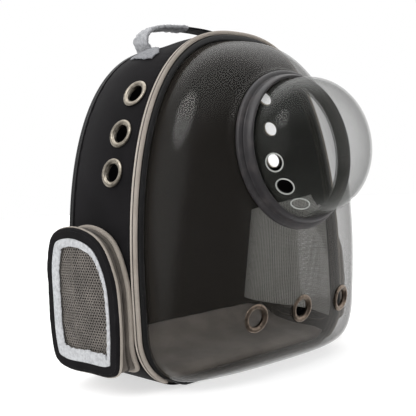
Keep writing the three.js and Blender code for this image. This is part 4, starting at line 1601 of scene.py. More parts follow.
@dataclass
class Porthole:
    """The charcoal ring and the clear dome in it, on one axis that is tilted up."""

    finishes: Finishes
    height: float = 0.266
    reach: float = 0.0885
    tilt: float = math.radians(5.0)
    ring_radius: float = 0.0937
    ring_bore: float = 0.0813
    lip_radius: float = 0.0875
    lip_height: float = 0.0142
    ring_depth: float = 0.0039
    dome_radius: float = 0.080
    dome_height: float = 0.068
    dome_power: float = 2.45
    dome_wall: float = 0.002
    dome_base: float = 0.0127
    segments: int = 288
    vent_radius: float = 0.0095
    vent_height: float = 0.0335
    vent_turns: tuple[float, ...] = (194.0, 215.5, 237.0)
    vent_rim: float = 0.0008
    seal_top: float = 0.0118
    seal_foot: float = 0.0092
    notch_angles: tuple[float, ...] = (1.35, 2.62, 3.27, 3.92, 5.1)
    notch_depth: float = 0.0045
    notch_width: float = 0.02

    @property
    def centre(self) -> Array:
        """Centre of the ring's face."""
        return placed(np.array([0.0, -self.reach, self.height]))

    @property
    def axis(self) -> Array:
        """Direction that the dome looks in."""
        return np.array([0.0, -math.cos(self.tilt), math.sin(self.tilt)])

    def notched(self, angle: Array) -> Array:
        """Radius factor round the ring: a shallow V at each notch, and 1 between them.

        Args:
            angle: angles round the ring.

        Returns:
            The factor at each angle.
        """
        turn = angle[:, None] - np.array(self.notch_angles)[None]
        gap = np.min(np.abs((turn + math.pi) % (TAU) - math.pi), axis=1)
        return 1 - self.notch_depth * np.clip(1 - gap / self.notch_width, 0, 1)

    def build_ring(self) -> None:
        """The ring: a flange with a rolled edge, a stepped lip and a groove between them."""
        r, lip = self.ring_radius, self.lip_radius
        knots = np.array([
            (self.ring_bore, -self.ring_depth), (r - 0.0006, -self.ring_depth),
            (r, -self.ring_depth + 0.0006), (r, 0.0002), (r - 0.0006, 0.0014), (r - 0.0022, 0.0023),
            (lip + 0.0020, 0.0031), (lip + 0.0009, 0.0026), (lip + 0.0002, 0.0031), (lip, 0.0046),
            (lip - 0.0002, 0.0088), (lip - 0.0009, 0.0108), (lip - 0.0021, 0.0131),
            (lip - 0.0031, self.lip_height),
            (self.ring_bore + 0.0022, self.lip_height), (self.ring_bore + 0.0006, 0.0132),
            (self.ring_bore, 0.0112)])
        profile = respaced(knots, 84, closed=True)
        for _ in range(2):
            profile = (np.roll(profile, 1, 0) + 2 * profile + np.roll(profile, -1, 0)) / 4
        ring = lathe("porthole_ring_moulded", profile, 720, self.centre, self.axis, self.notched)
        settle(ring, self.finishes.ring, "black_plastic", "porthole_ring")
        near, far = self.dome_radius + 0.0009, self.ring_bore - 0.0002
        top, foot = self.seal_top, self.seal_foot
        gasket = respaced(np.array([(near, top), (far, top), (far, foot), (near, foot)]), 16, True)
        seal = lathe("porthole_seal", gasket, self.segments, self.centre, self.axis)
        settle(seal, self.finishes.coil, "black_plastic")

    def dome_profile(self, inset: float) -> Array:
        """Half of a superellipse from the foot to the apex: (r/R)^p + (h/H)^p = 1.

        Args:
            inset: distance inside the outer face.

        Returns:
            Rows of (radius, height).
        """
        angle = np.linspace(0.0, 1.0, 90) * math.pi / 2
        power = 2 / self.dome_power
        c = np.clip(np.cos(angle), 0, 1) ** power
        c[-1] = 0.0
        h = np.sin(angle) ** power
        rows = np.stack([(self.dome_radius - inset) * c, self.dome_base + (self.dome_height - inset) * h], -1)
        return respaced(rows, 90)

    def around(self, profile: Array) -> Array:
        """Points of a profile turned about the axis, as an array (segments, profile, 3).

        Args:
            profile: rows of (radius, height).

        Returns:
            The points.
        """
        angle = TAU * np.arange(self.segments) / self.segments
        side = np.array([1.0, 0.0, 0.0])
        up = np.cross(self.axis, side)
        ring = np.cos(angle)[:, None] * side + np.sin(angle)[:, None] * up
        return self.centre + profile[None, :, :1] * ring[:, None] + profile[None, :, 1:] * self.axis

    def vents(self) -> list[Spot]:
        """Places of the air holes in the dome's side.

        Returns:
            One spot for each hole, facing away from the axis.
        """
        up = np.cross(self.axis, [1.0, 0.0, 0.0])
        made = []
        for turn in np.radians(self.vent_turns):
            out = math.cos(turn) * np.array([1.0, 0.0, 0.0]) + math.sin(turn) * up
            made.append(Spot(self.centre + self.axis * self.vent_height + out * self.dome_radius, out))
        return made

    def build_vent_rims(self) -> None:
        """A thin, pale rim round each air hole, moulded on the dome's curve."""
        angle = TAU * np.arange(72) / 72
        for number, spot in enumerate(self.vents(), 1):
            tangent = np.cross(spot.normal, self.axis)
            radius = self.vent_radius + self.vent_rim / 2
            level = self.vent_height + radius * np.cos(angle)
            across = radius * np.sin(angle)
            profile = self.dome_profile(0.0)
            size = np.interp(level, profile[:, 1], profile[:, 0])
            out = np.sqrt(np.maximum(size ** 2 - across ** 2, 1e-8))
            path = self.centre + self.axis * level[:, None] + tangent * across[:, None] \
                + spot.normal * out[:, None]
            along = unit(np.roll(path, -1, axis=0) - np.roll(path, 1, axis=0))
            away = unit(path - path.mean(axis=0))
            lift = unit(np.cross(along, away))
            rim = cord(f"dome_vent_rim_{number}", path, away, lift, self.vent_rim, 8)
            settle(rim, self.finishes.vent_rim, "clear_plastic", "porthole_dome")

    def build_dome(self) -> None:
        """The dome: an outer and an inner skin that meet at a flanged foot behind the lip."""
        foot = -self.ring_depth
        edge = self.ring_bore - 0.0003
        inner_radius = self.dome_radius - self.dome_wall
        outer_foot = np.array([(edge, foot), (edge, foot + 0.002), (self.dome_radius, foot + 0.002),
                               (self.dome_radius, 0.004)])
        inner_foot = np.array([(inner_radius, foot), (inner_radius, foot + 0.001),
                               (inner_radius, foot + 0.002), (inner_radius, 0.004)])
        outer = self.around(np.vstack([outer_foot, self.dome_profile(0.0)]))
        inner = self.around(np.vstack([inner_foot, self.dome_profile(self.dome_wall)]))
        cell = TAU * self.dome_radius / self.segments
        (outer, inner), keep = opened((outer, inner), self.vents(), self.vent_radius, cell)
        keep = np.vstack([keep, np.ones((1, keep.shape[1]), bool)])
        u = np.arange(outer.shape[1]) * cell
        v = np.arange(self.segments + 1) * cell
        dome = faced_out(walled("porthole_dome_clear", outer, inner, u, v, True, keep), weld=True)
        settle(dome, self.finishes.dome, "clear_plastic", "porthole_dome")


@dataclass
class ClearFront:
    """The clear front: a deep bulged shell whose plan sections are superellipses."""

    finishes: Finishes
    porthole: Porthole
    wall: float = 0.002
    inset: float = 0.0135
    base_inset: float = 0.005
    depth: float = 0.096
    deepest: float = 0.250
    base_shrink: float = 0.375
    shrink_power: float = 1.8
    belly_height: float = 0.035
    belly_power: float = 3.0
    crown_power: float = 2.3
    plan_low: float = 2.7
    plan_high: float = 2.1
    rows: int = 230
    columns: int = 150
    seat_margin: float = 0.002
    seat_flare: float = 0.008
    seat_depth: float = 0.026
    seat_soft: float = 0.0022
    seat_slope: float = 0.6
    seat_reach: float = 2.4
    seat_front: float = -0.012
    flange_face: float = 0.0001
    flange_lap: float = 0.004
    cell: float = 0.0026
    eyelet_height: float = 0.077
    eyelet_x: tuple[float, ...] = (-0.067, 0.008, 0.090)
    eyelet_hole: float = 0.0126

    def section_depth(self, z: Array, skin: float) -> Array:
        """Depth on the midplane at a height: a crown curve above, a shrinking belly curve below.

        Args:
            z: heights.
            skin: distance inside the outer face.

        Returns:
            Depth in front of the flange.
        """
        deepest = self.depth - skin
        top = OUTLINE.height - self.inset - skin
        up = np.clip((z - self.deepest) / (top - self.deepest), 0, 1)
        crown = deepest * (1 - up ** self.crown_power) ** (1 / self.crown_power)
        below = np.clip((self.deepest - z) / self.deepest, 0, 1)
        body = deepest * (1 - self.base_shrink * below ** self.shrink_power)
        foot = self.base_inset + skin
        belly = np.clip((foot + self.belly_height - z) / self.belly_height, 0, 1)
        body = body * (1 - belly ** self.belly_power) ** (1 / self.belly_power)
        return np.where(z > self.deepest, crown, body)

    def plan_power(self, z: Array) -> Array:
        """Squareness of the plan section at a height."""
        return self.plan_low + (self.plan_high - self.plan_low) * z / OUTLINE.height

    def foot(self, line: Stations, skin: float) -> Array:
        """Foot of the wall on the flange plane, a skin inside the outer face."""
        return line.at(self.inset + (self.base_inset - self.inset) * line.low + skin, 0.0)

    def skin(self, skin: float) -> Array:
        """One face of the shell: rows up the outline, columns from right to left.

        Args:
            skin: distance inside the outer face.

        Returns:
            Array (rows, columns, 3).
        """
        line = OUTLINE.half(self.rows, from_middle=False)
        foot = self.foot(line, skin)
        z, half = foot[:, 2], foot[:, 0]
        power = 2 / self.plan_power(z)[:, None]
        angle = np.linspace(0, math.pi, self.columns + 1)[None]
        across = np.sign(np.cos(angle)) * np.abs(np.cos(angle)) ** power
        deep = np.clip(np.sin(angle), 0, 1) ** power
        deep[:, 0] = deep[:, -1] = 0.0
        points = np.stack([half[:, None] * across, -self.section_depth(z, skin)[:, None] * deep,
                           np.broadcast_to(z[:, None], across.shape)], axis=-1)
        return self.seated(placed(points), skin)

    def seated(self, points: Array, skin: float) -> Array:
        """The flat seat for the ring: inside it the face is flat, and round it a flare is blended on.

        Args:
            points: one face of the shell.
            skin: its distance inside the outer face.

        Returns:
            The moved points.
        """
        centre, axis = self.porthole.centre, self.porthole.axis
        rel = points - centre
        along = rel @ axis
        away = np.linalg.norm(rel - along[..., None] * axis, axis=-1)
        face = -self.porthole.ring_depth - CLEARANCE - skin
        radius = self.porthole.ring_radius + self.seat_margin - skin
        flare = face - self.seat_depth * np.clip((away - radius) / self.seat_flare, 0, 4)
        raised = 0.5 * (along + flare + np.sqrt((along - flare) ** 2 + self.seat_soft ** 2))
        target = np.where(away < radius, face, np.minimum(raised, face + self.seat_slope * (away - radius)))
        front = points[..., 1] < FLANGE_Y + self.seat_front
        move = np.where(front & (away < radius + self.seat_reach * self.seat_flare), target - along, 0.0)
        return points + move[..., None] * axis

    def spot(self, x: float) -> Spot:
        """Place of a front eyelet, by the shell's depth and slopes at its height.

        Args:
            x: place across the body.

        Returns:
            The spot.
        """
        z0 = self.eyelet_height

        def surface(px: float, pz: float) -> float:
            """Depth of the outer face: the plan section's superellipse at its height.

            Args:
                px: place across the body.
                pz: height.

            Returns:
                The flange depth.
            """
            foot = self.foot(OUTLINE.half(self.rows, from_middle=False), 0.0)
            half = float(np.interp(pz, foot[:140, 2], foot[:140, 0]))
            power = float(self.plan_power(np.array(pz)))
            deep = float(self.section_depth(np.array(pz), 0.0))
            return -deep * (1 - abs(px / half) ** power) ** (1 / power)

        step = 0.001
        slope_x = (surface(x + step, z0) - surface(x - step, z0)) / (2 * step)
        slope_z = (surface(x, z0 + step) - surface(x, z0 - step)) / (2 * step)
        return Spot(placed(np.array([x, surface(x, z0), z0])), unit(np.array([slope_x, -1.0, slope_z])))

    def spots(self) -> list[Spot]:
        """Places of the front eyelets."""
        return [self.spot(x) for x in self.eyelet_x]

    def build(self) -> None:
        """The shell with its round holes, and the flange that the rim binds."""
        outer, inner = self.skin(0.0), self.skin(self.wall)
        (outer, inner), keep = opened((outer, inner), self.spots(), self.eyelet_hole, self.cell)
        port = Spot(self.porthole.centre, self.porthole.axis)
        (outer, inner), clear = opened((outer, inner), [port], self.porthole.ring_bore, self.cell)
        v = runs(outer[:, self.columns // 2])
        u = runs(outer[self.rows // 3])
        shell = walled("clear_front", outer, inner, u, v, False, keep & clear)
        settle(shell, self.finishes.clear, "clear_plastic", "clear_shell")
        line = OUTLINE.loop(240)
        near, far = self.flange_face, FLANGE_THICKNESS
        gap = RIM_INSET + (RIM_BASE_INSET - RIM_INSET) * line.low_end
        lap = self.inset + (self.base_inset - self.inset) * line.low + self.flange_lap
        section = ((gap, near), (lap, near), (lap, far), (gap, far))
        loops = np.stack([placed(line.at(inset, y)) for inset, y in section], axis=1)
        settle(loft("clear_flange", loops, True), self.finishes.clear, "clear_plastic")


@dataclass
class FrontEdge:
    """What binds the clear front to the body: rim, frame, two pipings and the zip between them."""

    finishes: Finishes
    front: ClearFront
    gap: float = RIM_INSET
    base_gap: float = RIM_BASE_INSET
    rim_gap: float = 0.0008
    piping_radius: float = 0.00255
    piping_end: float = 0.006
    coil_inset: float = 0.0009
    coil_radius: float = 0.00082
    tooth_pitch: float = 0.0014
    count: int = 360

    def ring(self, name: str, outer: Array, inner: Array, depths: tuple[float, float],
             power: float) -> Piece:
        """A ring round the body whose section is a superellipse between two insets and two depths.

        Args:
            name: name of the piece.
            outer: outer inset at each station.
            inner: inner inset at each station.
            depths: its front and back.
            power: squareness of the section.

        Returns:
            The new object.
        """
        line = OUTLINE.loop(self.count)
        loop = softbox_loop(1.0, 1.0, power, 20)
        middle, wide = (outer + inner) / 2, inner - outer
        inset = middle[:, None] + wide[:, None] * loop[None, :, 0]
        front, back = depths
        y = (front + back) / 2 + (back - front) * loop[:, 1]
        return loft(name, placed(line.grid(inset, y)), True)

    def build_rim(self) -> None:
        """The black binding in front of the flange, and the stiff frame behind it."""
        line = OUTLINE.loop(self.count)
        outer = self.gap + (self.base_gap - self.gap) * line.low_end
        shell = self.front.inset + (self.front.base_inset - self.front.inset) * line.low
        wave = 0.00025 * ripple(line.run, 0.021, 1.0)
        rim = self.ring("rim_binding", outer, shell - self.rim_gap + wave,
                        (DEPTH.rim_front, DEPTH.rim_back), 3.2)
        settle(rim, self.finishes.binding, "binding", "shell_rim")
        stiff = self.ring("front_frame_bound", outer, shell + 0.002,
                          (DEPTH.frame_front, DEPTH.frame_back), 6.0)
        settle(stiff, self.finishes.lining, "binding", "front_frame")

    def cord_path(self, y: float, inset: float) -> tuple[Array, Array]:
        """Route of a cord from one lower corner to the other, with its outward directions.

        Args:
            y: depth of its middle.
            inset: inset of its middle.

        Returns:
            Points and outward directions, as rows.
        """
        line = OUTLINE.loop(self.count)
        start = np.flatnonzero((line.share >= OUTLINE.piping_end) & (line.x > 0))[0]
        stop = np.flatnonzero((line.share >= OUTLINE.piping_end) & (line.x < 0))[-1]
        part = line.picked(np.arange(start, stop + 1))
        return placed(part.at(inset, y)), part.normals()

    def build_cords(self) -> None:
        """Two cords of cloth piping, rounded off at both ends, with faint seam pulls."""
        for name, node, y, finish in (
                ("piping_rear", "zip_piping_rear", DEPTH.rear_piping, self.finishes.piping),
                ("piping_front", "zip_piping_front", DEPTH.front_piping, self.finishes.dull_piping)):
            path, out = self.cord_path(y, self.piping_radius)
            run = runs(path)
            end = np.minimum(run, run[-1] - run)
            radius = self.piping_radius * (1 - 0.75 * (1 - smooth(end, 0.0, self.piping_end)) ** 2)
            radius = radius * (1 + 0.018 * ripple(run, 0.009, 2.0))
            settle(cord(name, path, out, INWARDS, radius, 18, False), finish, "piping", node)

    def build_zip(self) -> None:
        """The closed coil of the zip, in the groove between the cords: it swells at every tooth."""
        path, out = self.cord_path((DEPTH.rear_piping + DEPTH.front_piping) / 2, self.coil_inset)
        fine = respaced(np.hstack([path, out]), int(runs(path)[-1] * 4 / self.tooth_pitch))
        run = runs(fine[:, :3])
        radius = self.coil_radius * (1 + 0.28 * np.sin(TAU * run / self.tooth_pitch))
        coil = cord("front_zip_coil", fine[:, :3], unit(fine[:, 3:]), INWARDS, radius, 8, False)
        settle(coil, self.finishes.coil, "zip_tape")


@dataclass
class Eyelets:
    """The metal eyelets: a rolled flange and a short barrel, turned about each spot's normal."""

    finishes: Finishes
    radius: float = 0.017
    bore: float = 0.0108
    barrel: float = 0.0122
    rise: float = 0.002
    reach: float = 0.0036
    seat: float = CLEARANCE

    def profile(self) -> Array:
        """The section: a half-round roll over the flange, whose inner side runs down the barrel.

        Returns:
            Rows of (radius, height), as a closed loop.
        """
        turn = np.linspace(0, 1, 22)
        across = self.radius - (self.radius - self.bore) * turn
        roll = self.seat + self.rise * (1 - np.abs(2 * turn - 0.92) ** 2.4 * 0.9)
        roll = np.maximum(roll, self.seat + 0.0003)
        top = np.stack([across, roll], axis=-1)
        rest = np.array([(self.bore, self.seat - 0.0006), (self.bore, -self.reach),
                         (self.barrel, -self.reach), (self.barrel, self.seat),
                         (self.radius - 0.0003, self.seat)])
        return np.vstack([top, rest])

    def build(self, spots: Sequence[Spot], names: Sequence[str], finish: Material) -> None:
        """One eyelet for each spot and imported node.

        Args:
            spots: places of the eyelets.
            names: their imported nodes.
            finish: the metal.
        """
        for spot, node in zip(spots, names):
            ring = lathe(f"{node}_rolled", self.profile(), 56, spot.point, spot.normal)
            settle(ring, finish, "eyelet_metal", node)


# Side bays


@dataclass
class SideBay:
    """A deep vented bay on one side: zipped tape wall, pipings, black frame, felt strip and net."""

    finishes: Finishes
    side: Side
    setback: float = -0.002
    length: float = 0.127
    bottom: float = 0.022
    height: float = 0.170
    front_depth: float = 0.020
    rear_depth: float = 0.034
    piping_radius: float = 0.0032
    edge_piping_radius: float = 0.002
    gap: float = CLEARANCE
    band: float = 0.002
    face: float = 0.002
    frame_width: float = 0.009
    frame_setback: float = 0.001
    edge_roll: float = 0.0026
    frame_sink: float = 0.0005
    frame_crown: float = 0.0012
    stitched: tuple[int, ...] = (10, 24)
    tape_sink: float = 0.0026
    coil_sink: float = 0.0030
    ridge: float = 0.0011
    ridge_places: tuple[float, float] = (0.3, 0.68)
    ridge_width: float = 0.08
    coil_radius: float = 0.0010
    coil_place: float = 0.49
    seat_lap: float = 0.35
    tooth_pitch: float = 0.0018
    strip_lap: float = 0.002
    strip: float = 0.001
    strip_width: float = 0.0075
    strip_rear: float = 0.0060
    strip_down: float = 0.0070
    strip_front: float = 0.0032
    strip_up: float = 0.002
    window_inset: float = 0.012
    net_pitch: tuple[float, float] = (0.0042, 0.0031)
    net_hole: tuple[float, float] = (0.38, 0.36)
    net_sink: float = 0.0005
    net_sag: float = 0.0028
    yarn: float = 0.0008
    outline: tuple[tuple[float, float], ...] = (
        (0.0, 0.43), (0.03, 0.66), (0.18, 0.88), (0.38, 0.97), (0.66, 1.0), (0.88, 0.95), (0.98, 0.78),
        (1.0, 0.5), (0.99, 0.2), (0.93, 0.06), (0.78, 0.01), (0.45, 0.0), (0.16, 0.0), (0.055, 0.04),
        (0.015, 0.18))

    def loop(self, count: int = 300) -> Array:
        """The bay's outline as rows of (y, z, outward y, outward z).

        Args:
            count: number of points.

        Returns:
            The rows.
        """
        shares = np.array(self.outline)
        knots = np.stack([DEPTH.wall_front + self.setback + self.length * shares[:, 0],
                          self.bottom + self.height * shares[:, 1]], axis=-1)
        curve = respaced(flowing(knots, 24, True), count, closed=True)
        tangent = unit(np.roll(curve, -1, 0) - np.roll(curve, 1, 0))
        return np.hstack([curve, -tangent[:, 1:], tangent[:, :1]])

    def out(self, y: Array) -> Array:
        """Distance of the bay's outer face from the midplane, growing from front to rear."""
        share = (y - DEPTH.wall_front - self.setback) / self.length
        return OUTLINE.half_width + self.front_depth + (self.rear_depth - self.front_depth) * share

    def points(self, rows: Array, inset: Array | float, out: Callable[[Array, Array], Array]) -> Array:
        """Points of the outline at an inset, with a function of (y, z) for their reach sideways.

        Args:
            rows: the outline.
            inset: inset from it.
            out: reach from the midplane.

        Returns:
            Rows of points.
        """
        y = rows[:, 0] - rows[:, 2] * inset
        z = rows[:, 1] - rows[:, 3] * inset
        return placed(np.stack([self.side.value * out(y, z), y, z], axis=-1))

    def laid(self, rows: Array, inset: Array, lift: Array | float = 0.0, reach: Array | None = None) -> Array:
        """Points at insets from the outline, off the bay's outer face or at a reach of their own.

        Args:
            rows: the outline.
            inset: insets, one row for each point of the outline or one row for all.
            lift: distance outwards from the outer face.
            reach: distance from the midplane, in place of the outer face's.

        Returns:
            Array (outline points, insets, 3).
        """
        y = rows[:, :1] - rows[:, 2:3] * inset
        z = rows[:, 1:2] - rows[:, 3:] * inset
        away = self.out(y) + lift if reach is None else reach
        return placed(np.stack([self.side.value * away, y, z], axis=-1))

    def directions(self, rows: Array) -> tuple[Array, Array]:
        """Normals of the outline, and the direction away from the body, at each of its points."""
        normal = np.stack([np.zeros(len(rows)), rows[:, 2], rows[:, 3]], axis=-1)
        return normal, np.tile([float(self.side.value), 0.0, 0.0], (len(rows), 1))

    def behind(self, depth: float) -> Callable[[Array, Array], Array]:
        """Reach of a surface that lies a depth behind the face."""
        return lambda y, z: self.out(y) - depth

    @property
    def cord(self) -> float:
        """Width that a cord takes, with its gap."""
        return 2 * self.piping_radius + self.gap

    def window(self, points: Array) -> Array:
        """Whether points of the body's wall lie in the window behind this bay.

        Args:
            points: array (..., 3).

        Returns:
            Array of truth values.
        """
        rows = self.loop(120)
        ring = rows[:, :2] - rows[:, 2:] * self.window_inset
        flat = points[..., 1:] - np.array([FLANGE_Y, 0.0])
        return inside(ring, flat) & (points[..., 0] * self.side.value > 0.12)

    def build_cords(self) -> None:
        """The cord at the foot of the bay and the one at its edge."""
        rows = self.loop()
        seat = self.points(rows, self.piping_radius,
                           lambda y, z: OUTLINE.width_at(z) - WALL_INSET + self.piping_radius)
        thin = self.edge_piping_radius
        edge = self.points(rows, thin, self.behind(self.face + self.gap + thin))
        normal, sideways = self.directions(rows)
        for kind, path, size in (("seat", seat, self.piping_radius), ("edge", edge, thin)):
            node = f"bay_{kind}_piping_{self.side.word}"
            radius = size * (1 + 0.015 * ripple(runs(path), 0.008, 1.0))
            piping = cord(f"{node}_cord", path, normal, sideways, radius, 18)
            settle(piping, self.finishes.dull_piping, "piping", node)

    def tape_reach(self, rows: Array) -> tuple[Array, Array]:
        """Distances from the midplane at which the tape wall starts and ends, at each point."""
        low = OUTLINE.width_at(rows[:, 1]) - WALL_INSET + self.seat_lap * self.piping_radius
        return low, self.out(rows[:, 0]) - self.face - self.gap

    def build_band(self) -> None:
        """The tape wall, with two rolled ridges that are Gaussian across it."""
        rows = self.loop()
        low, high = self.tape_reach(rows)
        share = np.linspace(0, 1, 25)
        reach = low[:, None] + (high - low)[:, None] * share[None]
        one, two = (np.exp(-((share - place) / self.ridge_width) ** 2) for place in self.ridge_places)
        ridge = self.ridge * (one + two)
        slack = 0.0005 * ripple(runs(rows[:, :2])[:, None], 0.03, 2.0) * np.sin(math.pi * share)[None]
        inset = self.cord - self.tape_sink - ridge[None] - slack
        outer, inner = (self.laid(rows, inset + more, reach=reach) for more in (0.0, self.band))
        around = runs(rows[:, :2], closed=True)
        tape = walled(f"bay_tape_{self.side.word}", outer, inner, share * 0.02, around, True)
        settle(tape, self.finishes.tape, "zip_tape", f"bay_band_{self.side.word}")

    def build_coil(self) -> None:
        """The zip's coil between the ridges: its radius swells as a sine at every tooth."""
        rows = self.loop(int(runs(self.loop()[:, :2], closed=True)[-1] * 4 / self.tooth_pitch))
        low, high = self.tape_reach(rows)
        path = self.points(rows, self.cord - self.coil_sink,
                           lambda y, z: low + (high - low) * self.coil_place)
        normal, sideways = self.directions(rows)
        run = runs(path)
        teeth = round(run[-1] / self.tooth_pitch)
        radius = self.coil_radius * (1 + 0.28 * np.sin(TAU * run * teeth / run[-1]))
        coil = cord(f"bay_zip_coil_{self.side.word}", path, normal, sideways, radius, 8)
        settle(coil, self.finishes.coil, "zip_tape")

    def build_frame(self) -> None:
        """The cloth frame of the face: a crowned flat ring, with thread along both its edges."""
        rows = self.loop()
        inner = self.cord + self.frame_width
        share = np.linspace(0, 1, 29) ** 1.3
        inset = self.frame_setback + (inner - self.frame_setback) * share
        roll = np.clip(1 - (inset - self.frame_setback) / self.edge_roll, 0, 1)
        crown = self.frame_crown * (1 - np.abs(2 * share - 1) ** 4) \
            - self.edge_roll * (1 - np.sqrt(1 - roll ** 2))
        run = runs(rows[:, :2])[:, None]
        crease = 0.00035 * ripple(run, 0.016, 4.0) * np.exp(-share[None] / 0.3) \
            + 0.0004 * ripple(run + 0.01 * share[None], 0.05, 5.0)

        outer = self.laid(rows, inset, crown[None] + crease - self.frame_sink)
        under = self.laid(rows, inset, -self.face - self.frame_crown * roll[None] ** 2)
        around = runs(rows[:, :2], closed=True)
        ring = walled(f"bay_frame_{self.side.word}_cloth", outer, under, inset, around, True)
        settle(ring, self.finishes.cloth, "shell_cloth", f"bay_frame_{self.side.word}")
        sideways = self.directions(rows)[1]
        lines = [stitch_row(outer[:, k], sideways) for k in self.stitched]
        settle(stitches(f"bay_stitching_{self.side.word}", lines), self.finishes.thread, "shell_cloth")

    def build_strip(self) -> None:
        """The felt strip inside the frame: wide behind and below, narrow in front, uneven inside.

        Its width is a mean value plus a share of how far the outline faces rearwards or down,
        and its inner edge wavers most along the bottom.
        """
        rows = self.loop(520)
        run = runs(rows[:, :2])
        rear, down, front, up = (np.clip(v, 0, 1) for v in (rows[:, 2], -rows[:, 3], -rows[:, 2], rows[:, 3]))
        width = self.strip_width + self.strip_rear * rear + self.strip_down * down \
            - self.strip_front * front + self.strip_up * up
        torn = 0.0003 + 0.0007 * down + 0.0003 * rear
        width = width + torn * ripple(run, 0.021, 1.0) + 0.45 * torn * ripple(run, 0.006, 2.0)
        share = np.linspace(0, 1, 15)
        start = self.cord + self.frame_width - self.strip_lap
        inset = start + width[:, None] * share[None]
        crown = 0.0007 * np.sin(math.pi * share)[None] * (1 + 0.4 * ripple(run, 0.013, 3.0)[:, None]) \
            + 0.0003 * ripple(run, 0.009, 4.0)[:, None] * share[None] \
            + 0.0006 * np.exp(-((share - 0.78) / 0.12) ** 2)[None] * (1 + ripple(run, 0.008, 5.0)[:, None])

        outer = self.laid(rows, inset, self.gap + self.strip + crown)
        under = self.laid(rows, inset, self.gap + 0.3 * crown)
        around = runs(rows[:, :2], closed=True)
        strip = walled(f"bay_strip_{self.side.word}", outer, under, inset[0], around, True)
        settle(strip, self.finishes.felt, "pale_felt", f"bay_trim_{self.side.word}")

    def build_net(self) -> None:
        """The net: staggered cells, each a ring of quads between its rectangle and a round hole.

        Cell (i, j) is centred at (i + half of j odd, j) times the pitch. Its corners and hole
        are moved onto the face, which bows outwards as half a cosine both ways.
        """
        rows = self.loop(160)
        margin = self.cord + self.band + self.gap + self.net_sink
        ring = rows[:, :2] - rows[:, 2:] * margin
        px, pz = self.net_pitch
        low, high = ring.min(axis=0), ring.max(axis=0)
        j, i = np.meshgrid(np.arange(int((high[1] - low[1]) / pz)), np.arange(int((high[0] - low[0]) / px)),
                           indexing="ij")
        cy = low[0] + (i + 0.5 + 0.5 * (j % 2)) * px
        cz = low[1] + (j + 0.5) * pz
        kept = inside(ring, np.stack([cy, cz], axis=-1))
        cy, cz = cy[kept], cz[kept]
        angle = TAU * np.arange(12) / 12
        c, s = np.cos(angle), np.sin(angle)
        square = np.maximum(np.abs(c), np.abs(s))
        border = np.stack([c / square * px / 2, s / square * pz / 2], axis=-1)
        hole = np.stack([c * px * self.net_hole[0], s * pz * self.net_hole[1]], axis=-1)
        y = cy[:, None, None] + np.stack([border[:, 0], hole[:, 0]])[None]
        z = cz[:, None, None] + np.stack([border[:, 1], hole[:, 1]])[None]
        middle, span = (low + high) / 2, (high - low) / 2
        bow = np.cos((y - middle[0]) / span[0] * math.pi / 2) \
            * np.cos((z - middle[1]) / span[1] * math.pi / 2)
        sag = self.net_sag * bow + 0.0007 * ripple(z + 0.3 * y, 0.047, 1.0) * bow
        knot = np.array([0.0, -0.00025])[None, :, None]
        reach = self.out(y) - self.face - self.gap - self.net_sink + sag + knot
        top = placed(np.stack([self.side.value * reach, y, z], axis=-1)).reshape(-1, 3)
        under = top - np.array([self.side.value * self.yarn, 0.0, 0.0])
        k = np.arange(12)
        quad = np.stack([k, (k + 1) % 12, (k + 1) % 12 + 12, k + 12], axis=-1)
        start = 24 * np.arange(len(cy))[:, None, None]
        size = len(top)
        upper = (quad[None] + start).reshape(-1, 4)
        lower = upper[:, ::-1] + size
        wall = np.stack([k + 12, (k + 1) % 12 + 12], axis=-1)
        edge = (wall[None] + start).reshape(-1, 2)
        walls = np.stack([edge[:, 0], edge[:, 1], edge[:, 1] + size, edge[:, 0] + size], axis=-1)
        rim = (np.stack([(k + 1) % 12, k], axis=-1)[None] + start).reshape(-1, 2)
        rims = np.stack([rim[:, 0], rim[:, 1], rim[:, 1] + size, rim[:, 0] + size], axis=-1)
        faces = np.vstack([upper, lower, walls, rims])
        net = faced_out(new_object(f"bay_net_{self.side.word}", np.vstack([top, under]), faces.tolist()))
        settle(net, self.finishes.net, "mesh_cloth", f"bay_mesh_{self.side.word}")
        size_y, size_z = 2 * span[0], 2 * span[1]
        size_y * size_z * 0.86

    def build(self) -> None:
        """Every piece of the bay."""
        self.build_cords()
        self.build_band()
        self.build_coil()
        self.build_frame()
        self.build_strip()
        self.build_net()


# Handle, straps and loose cloth


